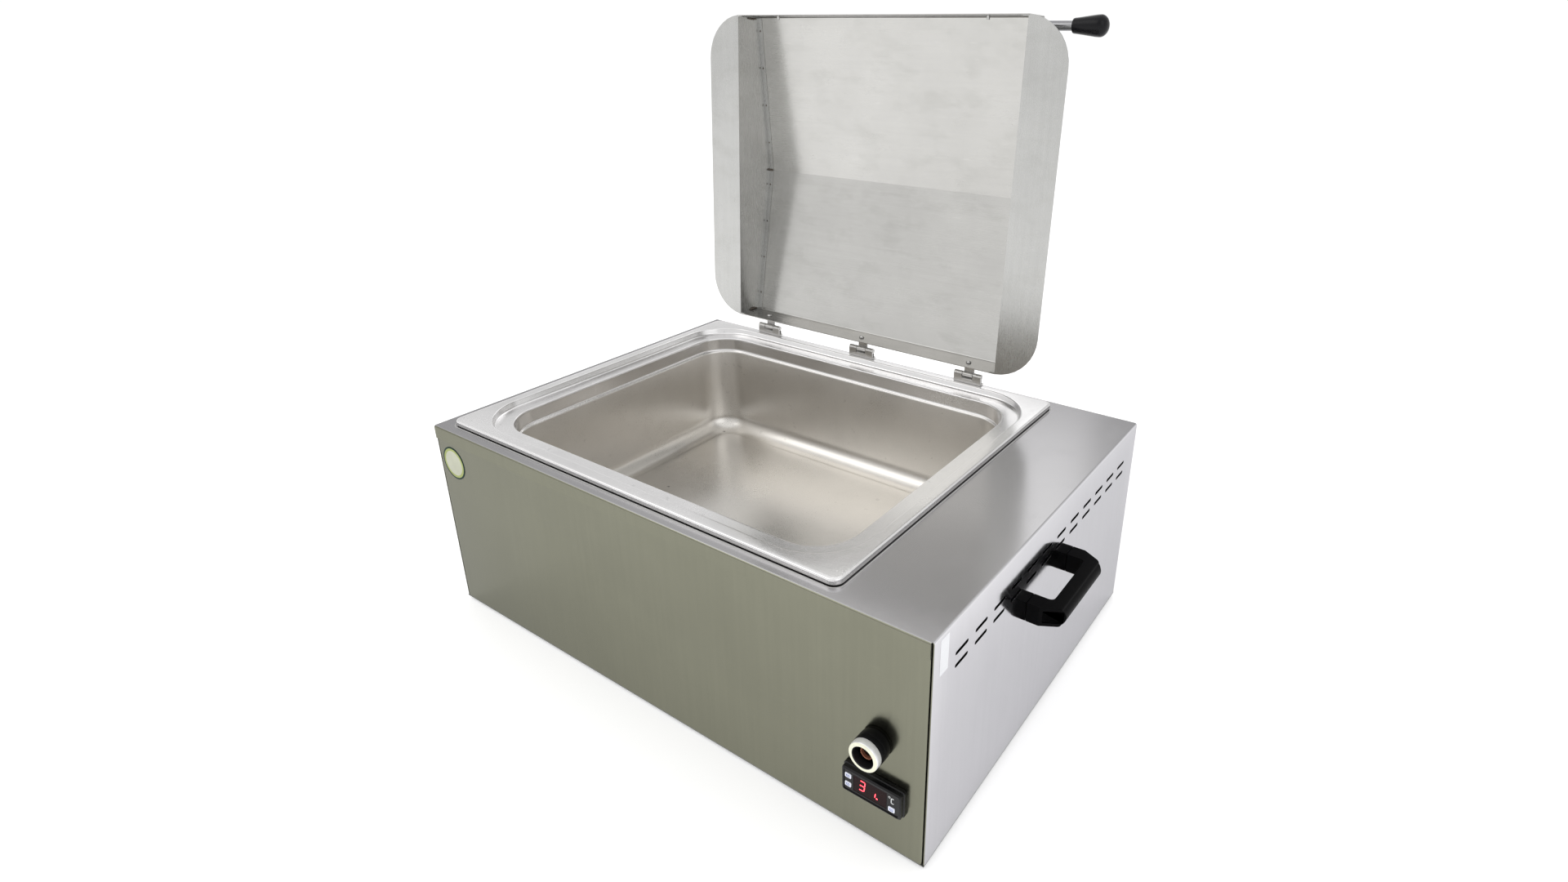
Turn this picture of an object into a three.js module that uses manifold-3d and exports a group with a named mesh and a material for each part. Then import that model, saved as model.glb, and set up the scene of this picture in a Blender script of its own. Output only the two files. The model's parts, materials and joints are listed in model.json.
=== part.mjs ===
// Table-top paraffin wax bath: a stainless steel casing with a hung wax pan, a hinged
// roof-shaped lid, and an electrical compartment at the right.
// Millimetres, +Z up, X to the right, Y to the back.
// Every piece is laid out from the casing's front left bottom corner. The outer group
// then puts the frame's origin on the table, in the middle of the object's footprint.

import * as THREE from 'three';
import { mergeVertices } from 'three/addons/utils/BufferGeometryUtils.js';
import Module from 'manifold-3d';

const wasm = await Module();
wasm.setup();

// ---------------------------------------------------------------- driving dimensions

const CASE = { width: 790, depth: 565, height: 282 };
const FOOT = { radius: 12, height: 5, inset: 42, gap: 0.05 };
const REACH = { front: 24, back: 48.6 }; // how far the button and the open lid stand out
const SHEET = 1.2;                       // casing and lid sheet
const FIT = 0.3;                         // gap between pieces that touch

const COVER = { skirt: 18.6, bend: 2.4, corner: 2.6, opening: 11, openingRadius: 40 };
const PANEL = { inset: 1.5, seam: 1.7, fold: 12.5, bend: 2.4 };
const TRAY = { fold: 15, shortBy: 8, sideShortBy: 18 };
const VENT = { columns: 12, first: 58.3, pitch: 40.9, length: 26.4, height: 4.4, rows: [240.5, 225.5] };

const RIM = { x0: 22, x1: 672, y0: 17, y1: 547, top: 290, lip: 283.3, corner: 12 };
const PAN = { sheet: 1.2, floor: 115, fillet: 25, wallTop: 256.5, ledge: 281, opening: 40,
  wall: 48.5, wallRadius: 50, shoulder: 262 };
const SEAL = { out: 1.6, inward: 2.4, low: 282.3, high: 283 };

const LID = { x0: 42, x1: 650, y0: 41, y1: 523, low: 281.5, corner: 64 };
const HOOD = { side: 60, skirt: 48, ridge: 80, bend: 2.4, lap: 8, lapSheet: 1 };
const PIVOT = { y: 541, z: 303.5 };
const OPEN_ANGLE = 93.25;                // degrees between shut and open

const HINGE = { centres: [150, 344, 538], width: 45, notch: 17.9, notchLow: 297 };
const LEAF = { width: 16.6, sheet: 2, low: 289.5, screwZ: 301.5, knuckle: 4, bore: 2.3 };
const PIN = { radius: 2, overhang: 0.4 };
const HINGE_BASE = { sheet: 2, foot: 11 };

const STUD = { x: [165, 523], up: 22, radius: 2.2, head: 3.6, inward: 6 };
const ROD = { radius: 6, fromFront: 13, up: 24, bolt: 4, boltDepth: 15 };
const KNOB = { start: 641.6, length: 45, small: 9.25, large: 13.25, socket: 27 };

const GRIP = { y: 283, z: 183.5, length: 138, height: 24.5, foot: 21.2, straight: 15.5 };
const GRIP_FACE = { edge: 36.5, middle: 42, slant: 15, bar: 13.5, innerTurn: 7 };

const CONTROL = { x: 731, z: 74.6, width: 74, height: 34, proud: 10.5 };
const CONTROL_CASE = { width: 70.6, height: 28.6, depth: 53, wall: 2 };
const FACE = { width: 66, height: 27, recess: 1, thickness: 2.6 };
const WINDOW = { x0: 709.5, x1: 750, height: 21 };
const KEY = { width: 7.6, height: 5.8, proud: 0.7, depth: 6 };
const KEYS = { key_up: [703.2, 80.8], key_down: [703.2, 69.2], key_set: [756, 67.5] };

const BUTTON = { x: 731, z: 134, collar: 17.5, barrel: 11, ring: 17, ringBore: 12 };
const BUTTON_Y = { front: -24, ringBack: -15.3, collar: -15, face: -13.5, step: -5, end: 24 };

const WALL_PLATE = { x: 666, top: 262, fold: 12, hole: 10 };
const LEAD = { y: 300, z: 111 };         // where the heater's lead crosses the dividing wall
const JACKET = { pocket: 40, thickness: 25, top: 255, floor: 106, window: [250, 350] };
const MAT = { inset: 84, low: 110.3, high: 113.4 };
const PROBE = { z: 165, y: 262, radius: 3, length: 46, clipY: 274, clipWidth: 12 };
const CUTOUT = { y: 320, z: 195 };       // where the safety thermostat sits on the pan's wall
const RELAY = { x: [700, 748], y: [400, 470], base: 30, top: 78, step: 4 };
const TERMINALS = { x: 700, y: 505, depth: 20, height: 24, cells: 5, pitch: 12 };
const GLAND = { x: 731, z: 60, bore: 4.5, barrel: 8, flange: 11 };

// ---------------------------------------------------------------- geometry helpers

function signedVolume(geometry) {
  const p = geometry.attributes.position;
  const index = geometry.index.array;
  const [a, b, c] = [new THREE.Vector3(), new THREE.Vector3(), new THREE.Vector3()];
  let sum = 0;
  for (let i = 0; i < index.length; i += 3) {
    a.fromBufferAttribute(p, index[i]);
    b.fromBufferAttribute(p, index[i + 1]);
    c.fromBufferAttribute(p, index[i + 2]);
    sum += a.dot(b.cross(c)) / 6;
  }
  return sum;
}

// Positions only, shared vertices merged, faces pointing out.
function closed(geometry) {
  const bare = geometry.clone();
  bare.deleteAttribute('normal');
  bare.deleteAttribute('uv');
  const merged = mergeVertices(bare, 1e-4);
  const index = Array.from(merged.index.array);
  const kept = [];
  for (let i = 0; i < index.length; i += 3) {
    const [a, b, c] = index.slice(i, i + 3);
    if (a !== b && b !== c && c !== a) kept.push(a, b, c);
  }
  merged.setIndex(kept);
  if (signedVolume(merged) < 0) merged.setIndex(kept.reverse());
  return merged;
}

function toSolid(geometry) {
  const g = closed(geometry);
  const mesh = new wasm.Mesh({
    numProp: 3,
    vertProperties: new Float32Array(g.attributes.position.array),
    triVerts: new Uint32Array(g.index.array),
  });
  return new wasm.Manifold(mesh);
}

function fromSolid(solid) {
  const mesh = solid.getMesh();
  const g = new THREE.BufferGeometry();
  g.setAttribute('position', new THREE.BufferAttribute(new Float32Array(mesh.vertProperties), 3));
  g.setIndex(Array.from(mesh.triVerts));
  return g;
}

const join = (first, ...rest) =>
  fromSolid(rest.reduce((sum, g) => sum.add(toSolid(g)), toSolid(first)));
const cut = (first, ...tools) =>
  fromSolid(tools.reduce((left, g) => left.subtract(toSolid(g)), toSolid(first)));
const common = (first, second) => fromSolid(toSolid(first).intersect(toSolid(second)));

function box(x0, x1, y0, y1, z0, z1) {
  const g = new THREE.BoxGeometry(x1 - x0, y1 - y0, z1 - z0);
  return g.translate((x0 + x1) / 2, (y0 + y1) / 2, (z0 + z1) / 2);
}

const shapeOf = (points) => new THREE.Shape(points.map(([a, b]) => new THREE.Vector2(a, b)));

function extrude(outline, depth) {
  const shape = Array.isArray(outline) ? shapeOf(outline) : outline;
  return new THREE.ExtrudeGeometry(shape, { depth, bevelEnabled: false, steps: 1 });
}

// An (x, y) outline between two heights.
function alongZ(outline, z0, z1) {
  return extrude(outline, z1 - z0).translate(0, 0, z0);
}

// A (y, z) outline between two X planes.
function alongX(outline, x0, x1) {
  const turn = new THREE.Matrix4().makeBasis(
    new THREE.Vector3(0, 1, 0), new THREE.Vector3(0, 0, 1), new THREE.Vector3(1, 0, 0));
  return extrude(outline, x1 - x0).applyMatrix4(turn).translate(x0, 0, 0);
}

// An (x, z) outline between two Y planes.
function alongY(outline, y0, y1) {
  const turn = new THREE.Matrix4().makeBasis(
    new THREE.Vector3(1, 0, 0), new THREE.Vector3(0, 0, 1), new THREE.Vector3(0, -1, 0));
  return extrude(outline, y1 - y0).applyMatrix4(turn).translate(0, y1, 0);
}

// A turned piece: profile points are [radius, distance along the axis].
function turned(profile, axis, centre, segments = 32) {
  const points = profile.map(([r, t]) => new THREE.Vector2(r, t));
  const g = new THREE.LatheGeometry(points, segments);
  if (axis === 'x') g.rotateZ(-Math.PI / 2);
  if (axis === 'z') g.rotateX(Math.PI / 2);
  return g.translate(...centre);
}

const cylinder = (radius, from, to, axis, centre, segments = 24) =>
  turned([[0, from], [radius, from], [radius, to], [0, to]], axis, centre, segments);

// A ring-shaped turned piece: its profile closes on itself.
const turnedRing = (profile, axis, centre, segments) =>
  turned([...profile, profile[0]], axis, centre, segments);

function roundedRect(x0, y0, x1, y1, radius, segments = 8) {
  const corners = [
    [x1 - radius, y1 - radius, 0], [x0 + radius, y1 - radius, 1],
    [x0 + radius, y0 + radius, 2], [x1 - radius, y0 + radius, 3],
  ];
  const points = [];
  for (const [cx, cy, quarter] of corners) {
    for (let i = 0; i <= segments; i++) {
      const turn = (quarter + i / segments) * Math.PI / 2;
      points.push([cx + radius * Math.cos(turn), cy + radius * Math.sin(turn)]);
    }
  }
  return points;
}

// Joins rings of equal point count into one closed skin, with a flat cap at each end.
function loft(rings) {
  const count = rings[0].length;
  const positions = [];
  const index = [];
  for (const ring of rings) {
    for (const p of ring) positions.push(...p);
  }
  for (let r = 0; r + 1 < rings.length; r++) {
    for (let i = 0; i < count; i++) {
      const [a, b] = [r * count + i, r * count + (i + 1) % count];
      index.push(a, b, a + count, b, b + count, a + count);
    }
  }
  const last = (rings.length - 1) * count;
  for (let i = 1; i + 1 < count; i++) {
    index.push(0, i + 1, i);
    index.push(last, last + i, last + i + 1);
  }
  const g = new THREE.BufferGeometry();
  g.setAttribute('position', new THREE.BufferAttribute(new Float32Array(positions), 3));
  g.setIndex(index);
  return g;
}

// Rounds the inner corners of an open path.
function filletPath(points, radius, segments = 3) {
  const out = [points[0]];
  for (let i = 1; i + 1 < points.length; i++) {
    const corner = new THREE.Vector2(...points[i]);
    const back = new THREE.Vector2(...points[i - 1]).sub(corner).normalize();
    const ahead = new THREE.Vector2(...points[i + 1]).sub(corner).normalize();
    const half = Math.acos(back.dot(ahead)) / 2;
    const reach = radius / Math.tan(half);
    const start = corner.clone().addScaledVector(back, reach);
    const end = corner.clone().addScaledVector(ahead, reach);
    const toCentre = back.clone().add(ahead).normalize();
    const centre = corner.clone().addScaledVector(toCentre, radius / Math.sin(half));
    for (let k = 0; k <= segments; k++) {
      const p = start.clone().lerp(end, k / segments).sub(centre).setLength(radius).add(centre);
      out.push([p.x, p.y]);
    }
  }
  out.push(points[points.length - 1]);
  return out;
}

// Moves an open path sideways, to its left when the distance is positive.
function offsetPath(points, distance) {
  return points.map((p, i) => {
    const before = points[Math.max(i - 1, 0)];
    const after = points[Math.min(i + 1, points.length - 1)];
    const d0 = new THREE.Vector2(p[0] - before[0], p[1] - before[1]);
    const d1 = new THREE.Vector2(after[0] - p[0], after[1] - p[1]);
    const n0 = (i === 0 ? d1 : d0).clone().normalize();
    const n1 = (i === points.length - 1 ? d0 : d1).clone().normalize();
    const normal = new THREE.Vector2(-n0.y - n1.y, n0.x + n1.x).normalize();
    const stretch = distance / (normal.x * -n0.y + normal.y * n0.x);
    return [p[0] + normal.x * stretch, p[1] + normal.y * stretch];
  });
}

// The section of a folded sheet whose one face follows the path.
function sheetSection(path, thickness) {
  return [...path, ...offsetPath(path, thickness).reverse()];
}

function mirroredX(geometry, centre) {
  return closed(geometry.clone().translate(-centre, 0, 0).scale(-1, 1, 1).translate(centre, 0, 0));
}

// ---------------------------------------------------------------- materials

const paint = (color, roughness, metalness) =>
  new THREE.MeshStandardMaterial({ color, roughness, metalness });
const satinSteel = () => paint(0xa9abaa, 0.38, 1);
const mirrorSteel = () => paint(0xc9c9cb, 0.2, 1);
const panSteel = () => paint(0x9b958d, 0.42, 1);
const hingeSteel = () => paint(0xb4b5b3, 0.28, 1);
const blackPlastic = () => paint(0x131315, 0.4, 0);
const aluminium = () => paint(0xd9dad6, 0.3, 1);
const silicone = () => paint(0xd8d6cf, 0.5, 0);
const greyPlastic = () => paint(0x8e9194, 0.55, 0);
const blackRubber = () => paint(0x1d1d1e, 0.8, 0);
const mineralWool = () => paint(0xb59a55, 0.95, 0);

const casing = new THREE.Group();
const lid = new THREE.Group();

function piece(group, name, geometry, material) {
  const g = closed(geometry);
  g.computeVertexNormals();
  const mesh = new THREE.Mesh(g, material);
  mesh.name = name;
  group.add(mesh);
  return mesh;
}

// ---------------------------------------------------------------- casing sheets

const panelLow = SHEET + FIT;
const panelTop = CASE.height - SHEET - 1;
const foldRight = CASE.width - SHEET - PANEL.seam;

// One folded sheet: the top, both sides down to the base, and a short skirt at the front
// and back. Its corners are open, and the right side has the vent slots.
function coverGeometry() {
  const { width, depth, height } = CASE;
  const low = height - COVER.skirt;
  const across = filletPath([[0, panelLow], [0, height], [width, height], [width, panelLow]],
    COVER.bend);
  const fore = filletPath([[0, low], [0, height], [depth, height], [depth, low]], COVER.bend);
  const sides = alongY(sheetSection(across, -SHEET), COVER.corner, depth - COVER.corner);
  const ends = alongX(sheetSection(fore, -SHEET), COVER.corner, width - COVER.corner);
  const hole = roundedRect(RIM.x0 + COVER.opening, RIM.y0 + COVER.opening,
    RIM.x1 - COVER.opening, RIM.y1 - COVER.opening, COVER.openingRadius);
  return cut(join(sides, ends), alongZ(hole, height - 5, height + 5), ...ventSlots());
}

// Front and back panels are channels with a fold at each side.
function channelPanel(face, inward) {
  const foldLeft = CASE.width - foldRight;
  const back = face + inward * PANEL.fold;
  const path = filletPath([[foldLeft, back], [foldLeft, face], [foldRight, face], [foldRight, back]],
    PANEL.bend);
  return alongZ(sheetSection(path, inward * SHEET), panelLow, panelTop);
}

function frontPanel() {
  const caseHole = box(CONTROL.x - CONTROL_CASE.width / 2 - 0.4, CONTROL.x + CONTROL_CASE.width / 2 + 0.4,
    -5, 10, CONTROL.z - CONTROL_CASE.height / 2 - 0.4, CONTROL.z + CONTROL_CASE.height / 2 + 0.4);
  const buttonHole = cylinder(BUTTON.barrel + 0.4, -5, 10, 'y', [BUTTON.x, 0, BUTTON.z]);
  return cut(channelPanel(PANEL.inset, 1), caseHole, buttonHole);
}

function backPanel() {
  const glandHole = cylinder(GLAND.barrel + 0.4, -10, 10, 'y', [GLAND.x, CASE.depth, GLAND.z]);
  return cut(channelPanel(CASE.depth - PANEL.inset, -1), glandHole);
}

function ventSlots() {
  const slots = [];
  const end = VENT.height / 2;
  for (let c = 0; c < VENT.columns; c++) {
    const y = VENT.first + c * VENT.pitch;
    for (const z of VENT.rows) {
      const outline = roundedRect(y - VENT.length / 2, z - end, y + VENT.length / 2, z + end, end, 2);
      slots.push(alongX(outline, CASE.width - 5, CASE.width + 5));
    }
  }
  return slots;
}

// A base tray: flat sheet with four short upstands just inside the panels and the sides.
function baseTray() {
  const edge = PANEL.inset;
  const inner = edge + SHEET + FIT;
  const side = SHEET + FIT;
  const [w, d] = [CASE.width, CASE.depth];
  const high = SHEET + TRAY.fold;
  return join(
    box(0, w, edge, d - edge, 0, SHEET),
    box(TRAY.shortBy, w - TRAY.shortBy, inner, inner + SHEET, 0, high),
    box(TRAY.shortBy, w - TRAY.shortBy, d - inner - SHEET, d - inner, 0, high),
    box(side, side + SHEET, TRAY.sideShortBy, d - TRAY.sideShortBy, 0, high),
    box(w - side - SHEET, w - side, TRAY.sideShortBy, d - TRAY.sideShortBy, 0, high));
}

function buildCasing() {
  piece(casing, 'top_cover', coverGeometry(), satinSteel());
  piece(casing, 'front_panel', frontPanel(), satinSteel());
  piece(casing, 'back_panel', backPanel(), satinSteel());
  piece(casing, 'base_plate', baseTray(), satinSteel());
  const spots = {
    foot_front_left: [FOOT.inset, FOOT.inset],
    foot_front_right: [CASE.width - FOOT.inset, FOOT.inset],
    foot_back_left: [FOOT.inset, CASE.depth - FOOT.inset],
    foot_back_right: [CASE.width - FOOT.inset, CASE.depth - FOOT.inset],
  };
  const foot = [[0, -FOOT.height], [FOOT.radius - 1, -FOOT.height],
    [FOOT.radius, -FOOT.height + 1], [FOOT.radius, -FOOT.gap], [0, -FOOT.gap]];
  for (const [name, [x, y]] of Object.entries(spots)) {
    piece(casing, name, turned(foot, 'z', [0, 0, 0], 24), blackRubber()).position.set(x, y, 0);
  }
}

// ---------------------------------------------------------------- wax pan

// Top face of the pan from its turned-down lip to the floor: [inset, height, corner radius].
function panProfile() {
  const top = RIM.top;
  const ledge = PAN.ledge;
  const { wall, shoulder } = PAN;
  const centre = wall + PAN.fillet;
  const stations = [
    [0, RIM.lip, RIM.corner], [0, top - 3.4, RIM.corner], [0.9, top - 1.2, 11], [3.4, top, 9],
    [13.8, top, 76], [15, top - 0.8, 75.5], [17.6, ledge + 1.4, 73], [19, ledge, 71.5],
    [37.8, ledge, 58.5], [39.4, ledge - 0.7, 57.5], [PAN.opening, ledge - 2.6, 57],
    [PAN.opening + 0.6, shoulder, 56.5], [42, shoulder - 2.6, 55], [43.6, shoulder - 3.6, 54],
    [44.4, PAN.wallTop, 53],
  ];
  const steps = 5;
  for (let i = 0; i <= steps; i++) {
    const turn = i / steps * Math.PI / 2;
    const inset = centre - PAN.fillet * Math.cos(turn);
    stations.push([inset, PAN.floor + PAN.fillet * (1 - Math.sin(turn)),
      PAN.wallRadius - (inset - wall) * 0.8]);
  }
  stations.push([centre + 3, PAN.floor, 27.5], [centre + 5, PAN.floor + 0.8, 26]);
  return stations;
}

function panRing([inset, z, radius]) {
  const outline = roundedRect(RIM.x0 + inset, RIM.y0 + inset, RIM.x1 - inset, RIM.y1 - inset, radius);
  return outline.map(([x, y]) => [x, y, z]);
}

function panGeometry() {
  const inside = panProfile();
  const under = offsetPath(inside.map(([inset, z]) => [inset, z]), -PAN.sheet)
    .map(([inset, z], i) => [inset, z, Math.max(inside[i][2] - (inset - inside[i][0]), 4)]);
  under[0][1] = inside[0][1];
  return loft([...inside.reverse().map(panRing), ...under.map(panRing)]);
}

// A bead of sealant between the rim's lip and the cover, wider at its foot.
function sealGeometry() {
  const ring = (inset, z) => panRing([inset, z, RIM.corner - inset]);
  const bead = loft([ring(-SEAL.out, SEAL.low), ring(-SEAL.out * 0.6, SEAL.high)]);
  return cut(bead, loft([ring(SEAL.inward, SEAL.low - 1), ring(SEAL.inward, SEAL.high + 1)]));
}

function buildPan() {
  piece(casing, 'wax_pan', panGeometry(), panSteel());
  piece(casing, 'pan_seal', sealGeometry(), silicone());
}

// ---------------------------------------------------------------- heating and insulation

const insetRect = (inset, radius, segments) =>
  roundedRect(RIM.x0 + inset, RIM.y0 + inset, RIM.x1 - inset, RIM.y1 - inset, radius, segments);

function jacketGeometry() {
  const outer = alongZ(insetRect(JACKET.pocket - JACKET.thickness, 30, 4),
    JACKET.floor - JACKET.thickness, JACKET.top);
  const pocket = alongZ(insetRect(JACKET.pocket, 55, 6), JACKET.floor, JACKET.top + 5);
  const x = RIM.x1 - JACKET.pocket;
  const window = box(x - 8, x + JACKET.thickness + 5, ...JACKET.window, JACKET.floor, 215);
  return cut(outer, pocket, window);
}

// A steel strap that carries the jacket under the pan, its ends hooked below the cover.
function cradleGeometry() {
  const low = JACKET.floor - JACKET.thickness - FIT;
  const [front, back] = [RIM.y0 + 12, RIM.y1 - 12];
  const top = CASE.height - SHEET - FIT;
  const path = filletPath([[front - 14, top], [front, top], [front, low], [back, low], [back, top],
    [back + 14, top]], 4);
  return alongX(sheetSection(path, -SHEET), 260, 430);
}

function dividingWall() {
  const path = filletPath([[WALL_PLATE.x, WALL_PLATE.top], [WALL_PLATE.x, panelLow],
    [WALL_PLATE.x + WALL_PLATE.fold, panelLow]], 2.4);
  const plate = alongY(sheetSection(path, SHEET), 20, CASE.depth - 20);
  const hole = cylinder(WALL_PLATE.hole, -10, 10, 'x', [WALL_PLATE.x, LEAD.y, LEAD.z]);
  const upper = cylinder(WALL_PLATE.hole, -10, 10, 'x', [WALL_PLATE.x, LEAD.y, PROBE.z]);
  return cut(plate, hole, upper);
}

const panSide = RIM.x1 - PAN.opening - 6.4;   // outer face of the pan's right wall, mid height
const probeX = panSide + 4.2;

function buildHeating() {
  const mat = alongZ(insetRect(MAT.inset, 18, 3), MAT.low, MAT.high);
  piece(casing, 'heating_mat', mat, paint(0xb5552d, 0.6, 0));
  piece(casing, 'insulation_jacket', jacketGeometry(), mineralWool());
  piece(casing, 'jacket_cradle', cradleGeometry(), satinSteel());
  piece(casing, 'dividing_wall', dividingWall(), satinSteel());
  const { z, y, radius, length, clipY, clipWidth } = PROBE;
  const crimp = length - 6;
  const probe = turned([[0, 0], [radius - 1, 0], [radius, 1], [radius, crimp],
    [radius - 0.8, crimp + 1], [radius - 0.8, length], [0, length]], 'y', [probeX, y, z], 16);
  piece(casing, 'temperature_probe', probe, hingeSteel());
  const [near, far, half, wing] = [panSide + 0.6, panSide + 8.6, radius + 1.6, 14];
  const clip = filletPath([[near, z - wing], [near, z - half], [far, z - half], [far, z + half],
    [near, z + half], [near, z + wing]], 1.4);
  piece(casing, 'probe_clip', alongY(sheetSection(clip, -0.8), clipY, clipY + clipWidth),
    hingeSteel());
  const cutout = [[0, 0], [8, 0], [8, 4], [12, 4], [12, 5], [7, 5], [7, 11], [0, 11]];
  piece(casing, 'safety_cutout',
    turned(cutout, 'x', [panSide + 1.8, CUTOUT.y, CUTOUT.z], 24), greyPlastic());
}

// ---------------------------------------------------------------- controller and button

const bezelFront = PANEL.inset - CONTROL.proud;

function controlRect(width, height, radius, segments = 3) {
  return roundedRect(CONTROL.x - width / 2, CONTROL.z - height / 2,
    CONTROL.x + width / 2, CONTROL.z + height / 2, radius, segments);
}

// A stepped frame with a chamfered front edge and a sunk face.
function bezelGeometry() {
  const { width, height } = CONTROL;
  const back = PANEL.inset - FIT;
  const tiers = [[0, back, 3], [0, -2.6, 3], [1.2, -3.2, 2.6], [1.2, bezelFront + 1.4, 2.6],
    [2.6, bezelFront, 2.2]];
  const rings = tiers.map(([inset, y, radius]) =>
    controlRect(width - 2 * inset, height - 2 * inset, radius).map(([x, z]) => [x, y, z]));
  const faceY = bezelFront + FACE.recess;
  const sunk = alongY(controlRect(FACE.width, FACE.height, 1.5), bezelFront - 3, faceY);
  const hollow = alongY(controlRect(width - 7, height - 8, 1.5), faceY + FACE.thickness, back + 3);
  const glass = box(WINDOW.x0, WINDOW.x1, bezelFront - 3, 5,
    CONTROL.z - WINDOW.height / 2, CONTROL.z + WINDOW.height / 2);
  const keyHoles = Object.values(KEYS).map(([x, z]) => keyBlock(x, z, 0.3, bezelFront - 3, 5));
  return cut(loft(rings), sunk, hollow, glass, ...keyHoles);
}

function keyBlock(x, z, gap, y0, y1) {
  const [w, h] = [KEY.width / 2 + gap, KEY.height / 2 + gap];
  return alongY(roundedRect(x - w, z - h, x + w, z + h, 1 + gap, 3), y0, y1);
}

function controllerCase() {
  const { width, height, depth, wall } = CONTROL_CASE;
  const shell = alongY(controlRect(width, height, 1.5), PANEL.inset, PANEL.inset + depth);
  const hollow = alongY(controlRect(width - 2 * wall, height - 2 * wall, 1), -5,
    PANEL.inset + depth - wall);
  return cut(shell, hollow);
}

function buildController() {
  piece(casing, 'controller_bezel', bezelGeometry(), blackPlastic());
  piece(casing, 'controller_case', controllerCase(), blackPlastic());
  const glass = box(WINDOW.x0 + FIT, WINDOW.x1 - FIT, bezelFront + FACE.recess + 0.2, bezelFront + 4,
    CONTROL.z - WINDOW.height / 2 + FIT, CONTROL.z + WINDOW.height / 2 - FIT);
  piece(casing, 'controller_window', glass, paint(0x3a0608, 0.1, 0));
  const clampBack = PANEL.inset + SHEET + FIT;
  const outer = alongY(controlRect(80, 38, 2), clampBack, clampBack + 7);
  const inner = alongY(controlRect(CONTROL_CASE.width + 0.8, CONTROL_CASE.height + 0.8, 1.5), 0, 20);
  piece(casing, 'controller_clamp', cut(outer, inner), greyPlastic());
  for (const [name, [x, z]] of Object.entries(KEYS)) {
    const front = bezelFront + FACE.recess - KEY.proud;
    const mesh = piece(casing, name, keyBlock(0, 0, 0, 0, KEY.depth), paint(0xe6e8f2, 0.45, 0));
    mesh.position.set(x, front, z);
  }
}

function buildButton() {
  const at = [BUTTON.x, 0, BUTTON.z];
  const { front, ringBack, collar, face, step, end } = BUTTON_Y;
  const seat = PANEL.inset - FIT;
  const [big, bore, stem] = [BUTTON.collar, BUTTON.ringBore - 0.2, 6.5];
  const collarProfile = [[bore, collar], [big - 1, collar], [big, collar + 1], [big, -2],
    [big - 1.2, -1], [big - 1.2, seat], [BUTTON.barrel, seat], [BUTTON.barrel, end], [stem, end],
    [stem, step], [bore, step]];
  piece(casing, 'button_collar', turnedRing(collarProfile, 'y', at, 28), blackPlastic());
  const r = BUTTON.ring;
  const ringProfile = [[BUTTON.ringBore, ringBack], [BUTTON.ringBore, front + 1],
    [BUTTON.ringBore + 0.8, front], [r - 1.6, front], [r - 0.4, front + 0.5], [r, front + 1.6],
    [r, ringBack]];
  piece(casing, 'button_ring', turnedRing(ringProfile, 'y', at, 32), aluminium());
  const cap = bore - 0.5;
  const plunger = [[0, face + 0.8], [6.4, face + 0.8], [7.2, face], [cap - 1.4, face],
    [cap, face + 1.2], [cap, face + 5], [stem - 0.5, face + 5], [stem - 0.5, end - 4], [0, end - 4]];
  piece(casing, 'button_plunger', turned(plunger, 'y', at, 32), paint(0x2c1a13, 0.3, 0));
  const nut = new THREE.CylinderGeometry(16, 16, 5, 6).translate(BUTTON.x, 5.5, BUTTON.z);
  piece(casing, 'button_nut', cut(nut, cylinder(BUTTON.barrel + 0.4, 0, 12, 'y', at)), aluminium());
  const block = join(
    box(BUTTON.x - 15, BUTTON.x + 15, end + FIT, end + 26, BUTTON.z - 13, BUTTON.z + 13),
    box(BUTTON.x - 11, BUTTON.x + 11, end + 20, end + 34, BUTTON.z - 9, BUTTON.z + 9));
  piece(casing, 'contact_block', block, greyPlastic());
}

// ---------------------------------------------------------------- electrical pieces and leads

function terminalBlock() {
  const { x: x0, y: y0, depth, height, cells, pitch } = TERMINALS;
  const body = box(x0, x0 + cells * pitch, y0, y0 + depth, panelLow, height);
  const wells = [];
  for (let i = 0; i < cells; i++) {
    const x = x0 + (i + 0.5) * pitch;
    wells.push(cylinder(2.6, height - 8, height + 6, 'z', [x, y0 + depth / 2, 0], 12));
    wells.push(box(x - 3, x + 3, y0 - 5, y0 + 5, 6, 13));
  }
  return cut(body, ...wells);
}

function lead(points, radius) {
  const curve = new THREE.CatmullRomCurve3(points.map((p) => new THREE.Vector3(...p)));
  const sides = 8;
  const section = new THREE.Shape();
  for (let i = 0; i < sides; i++) {
    const turn = i / sides * 2 * Math.PI;
    section[i ? 'lineTo' : 'moveTo'](radius * Math.cos(turn), radius * Math.sin(turn));
  }
  const steps = points.length * 2;
  return new THREE.ExtrudeGeometry(section, { steps, extrudePath: curve, bevelEnabled: false });
}

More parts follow.
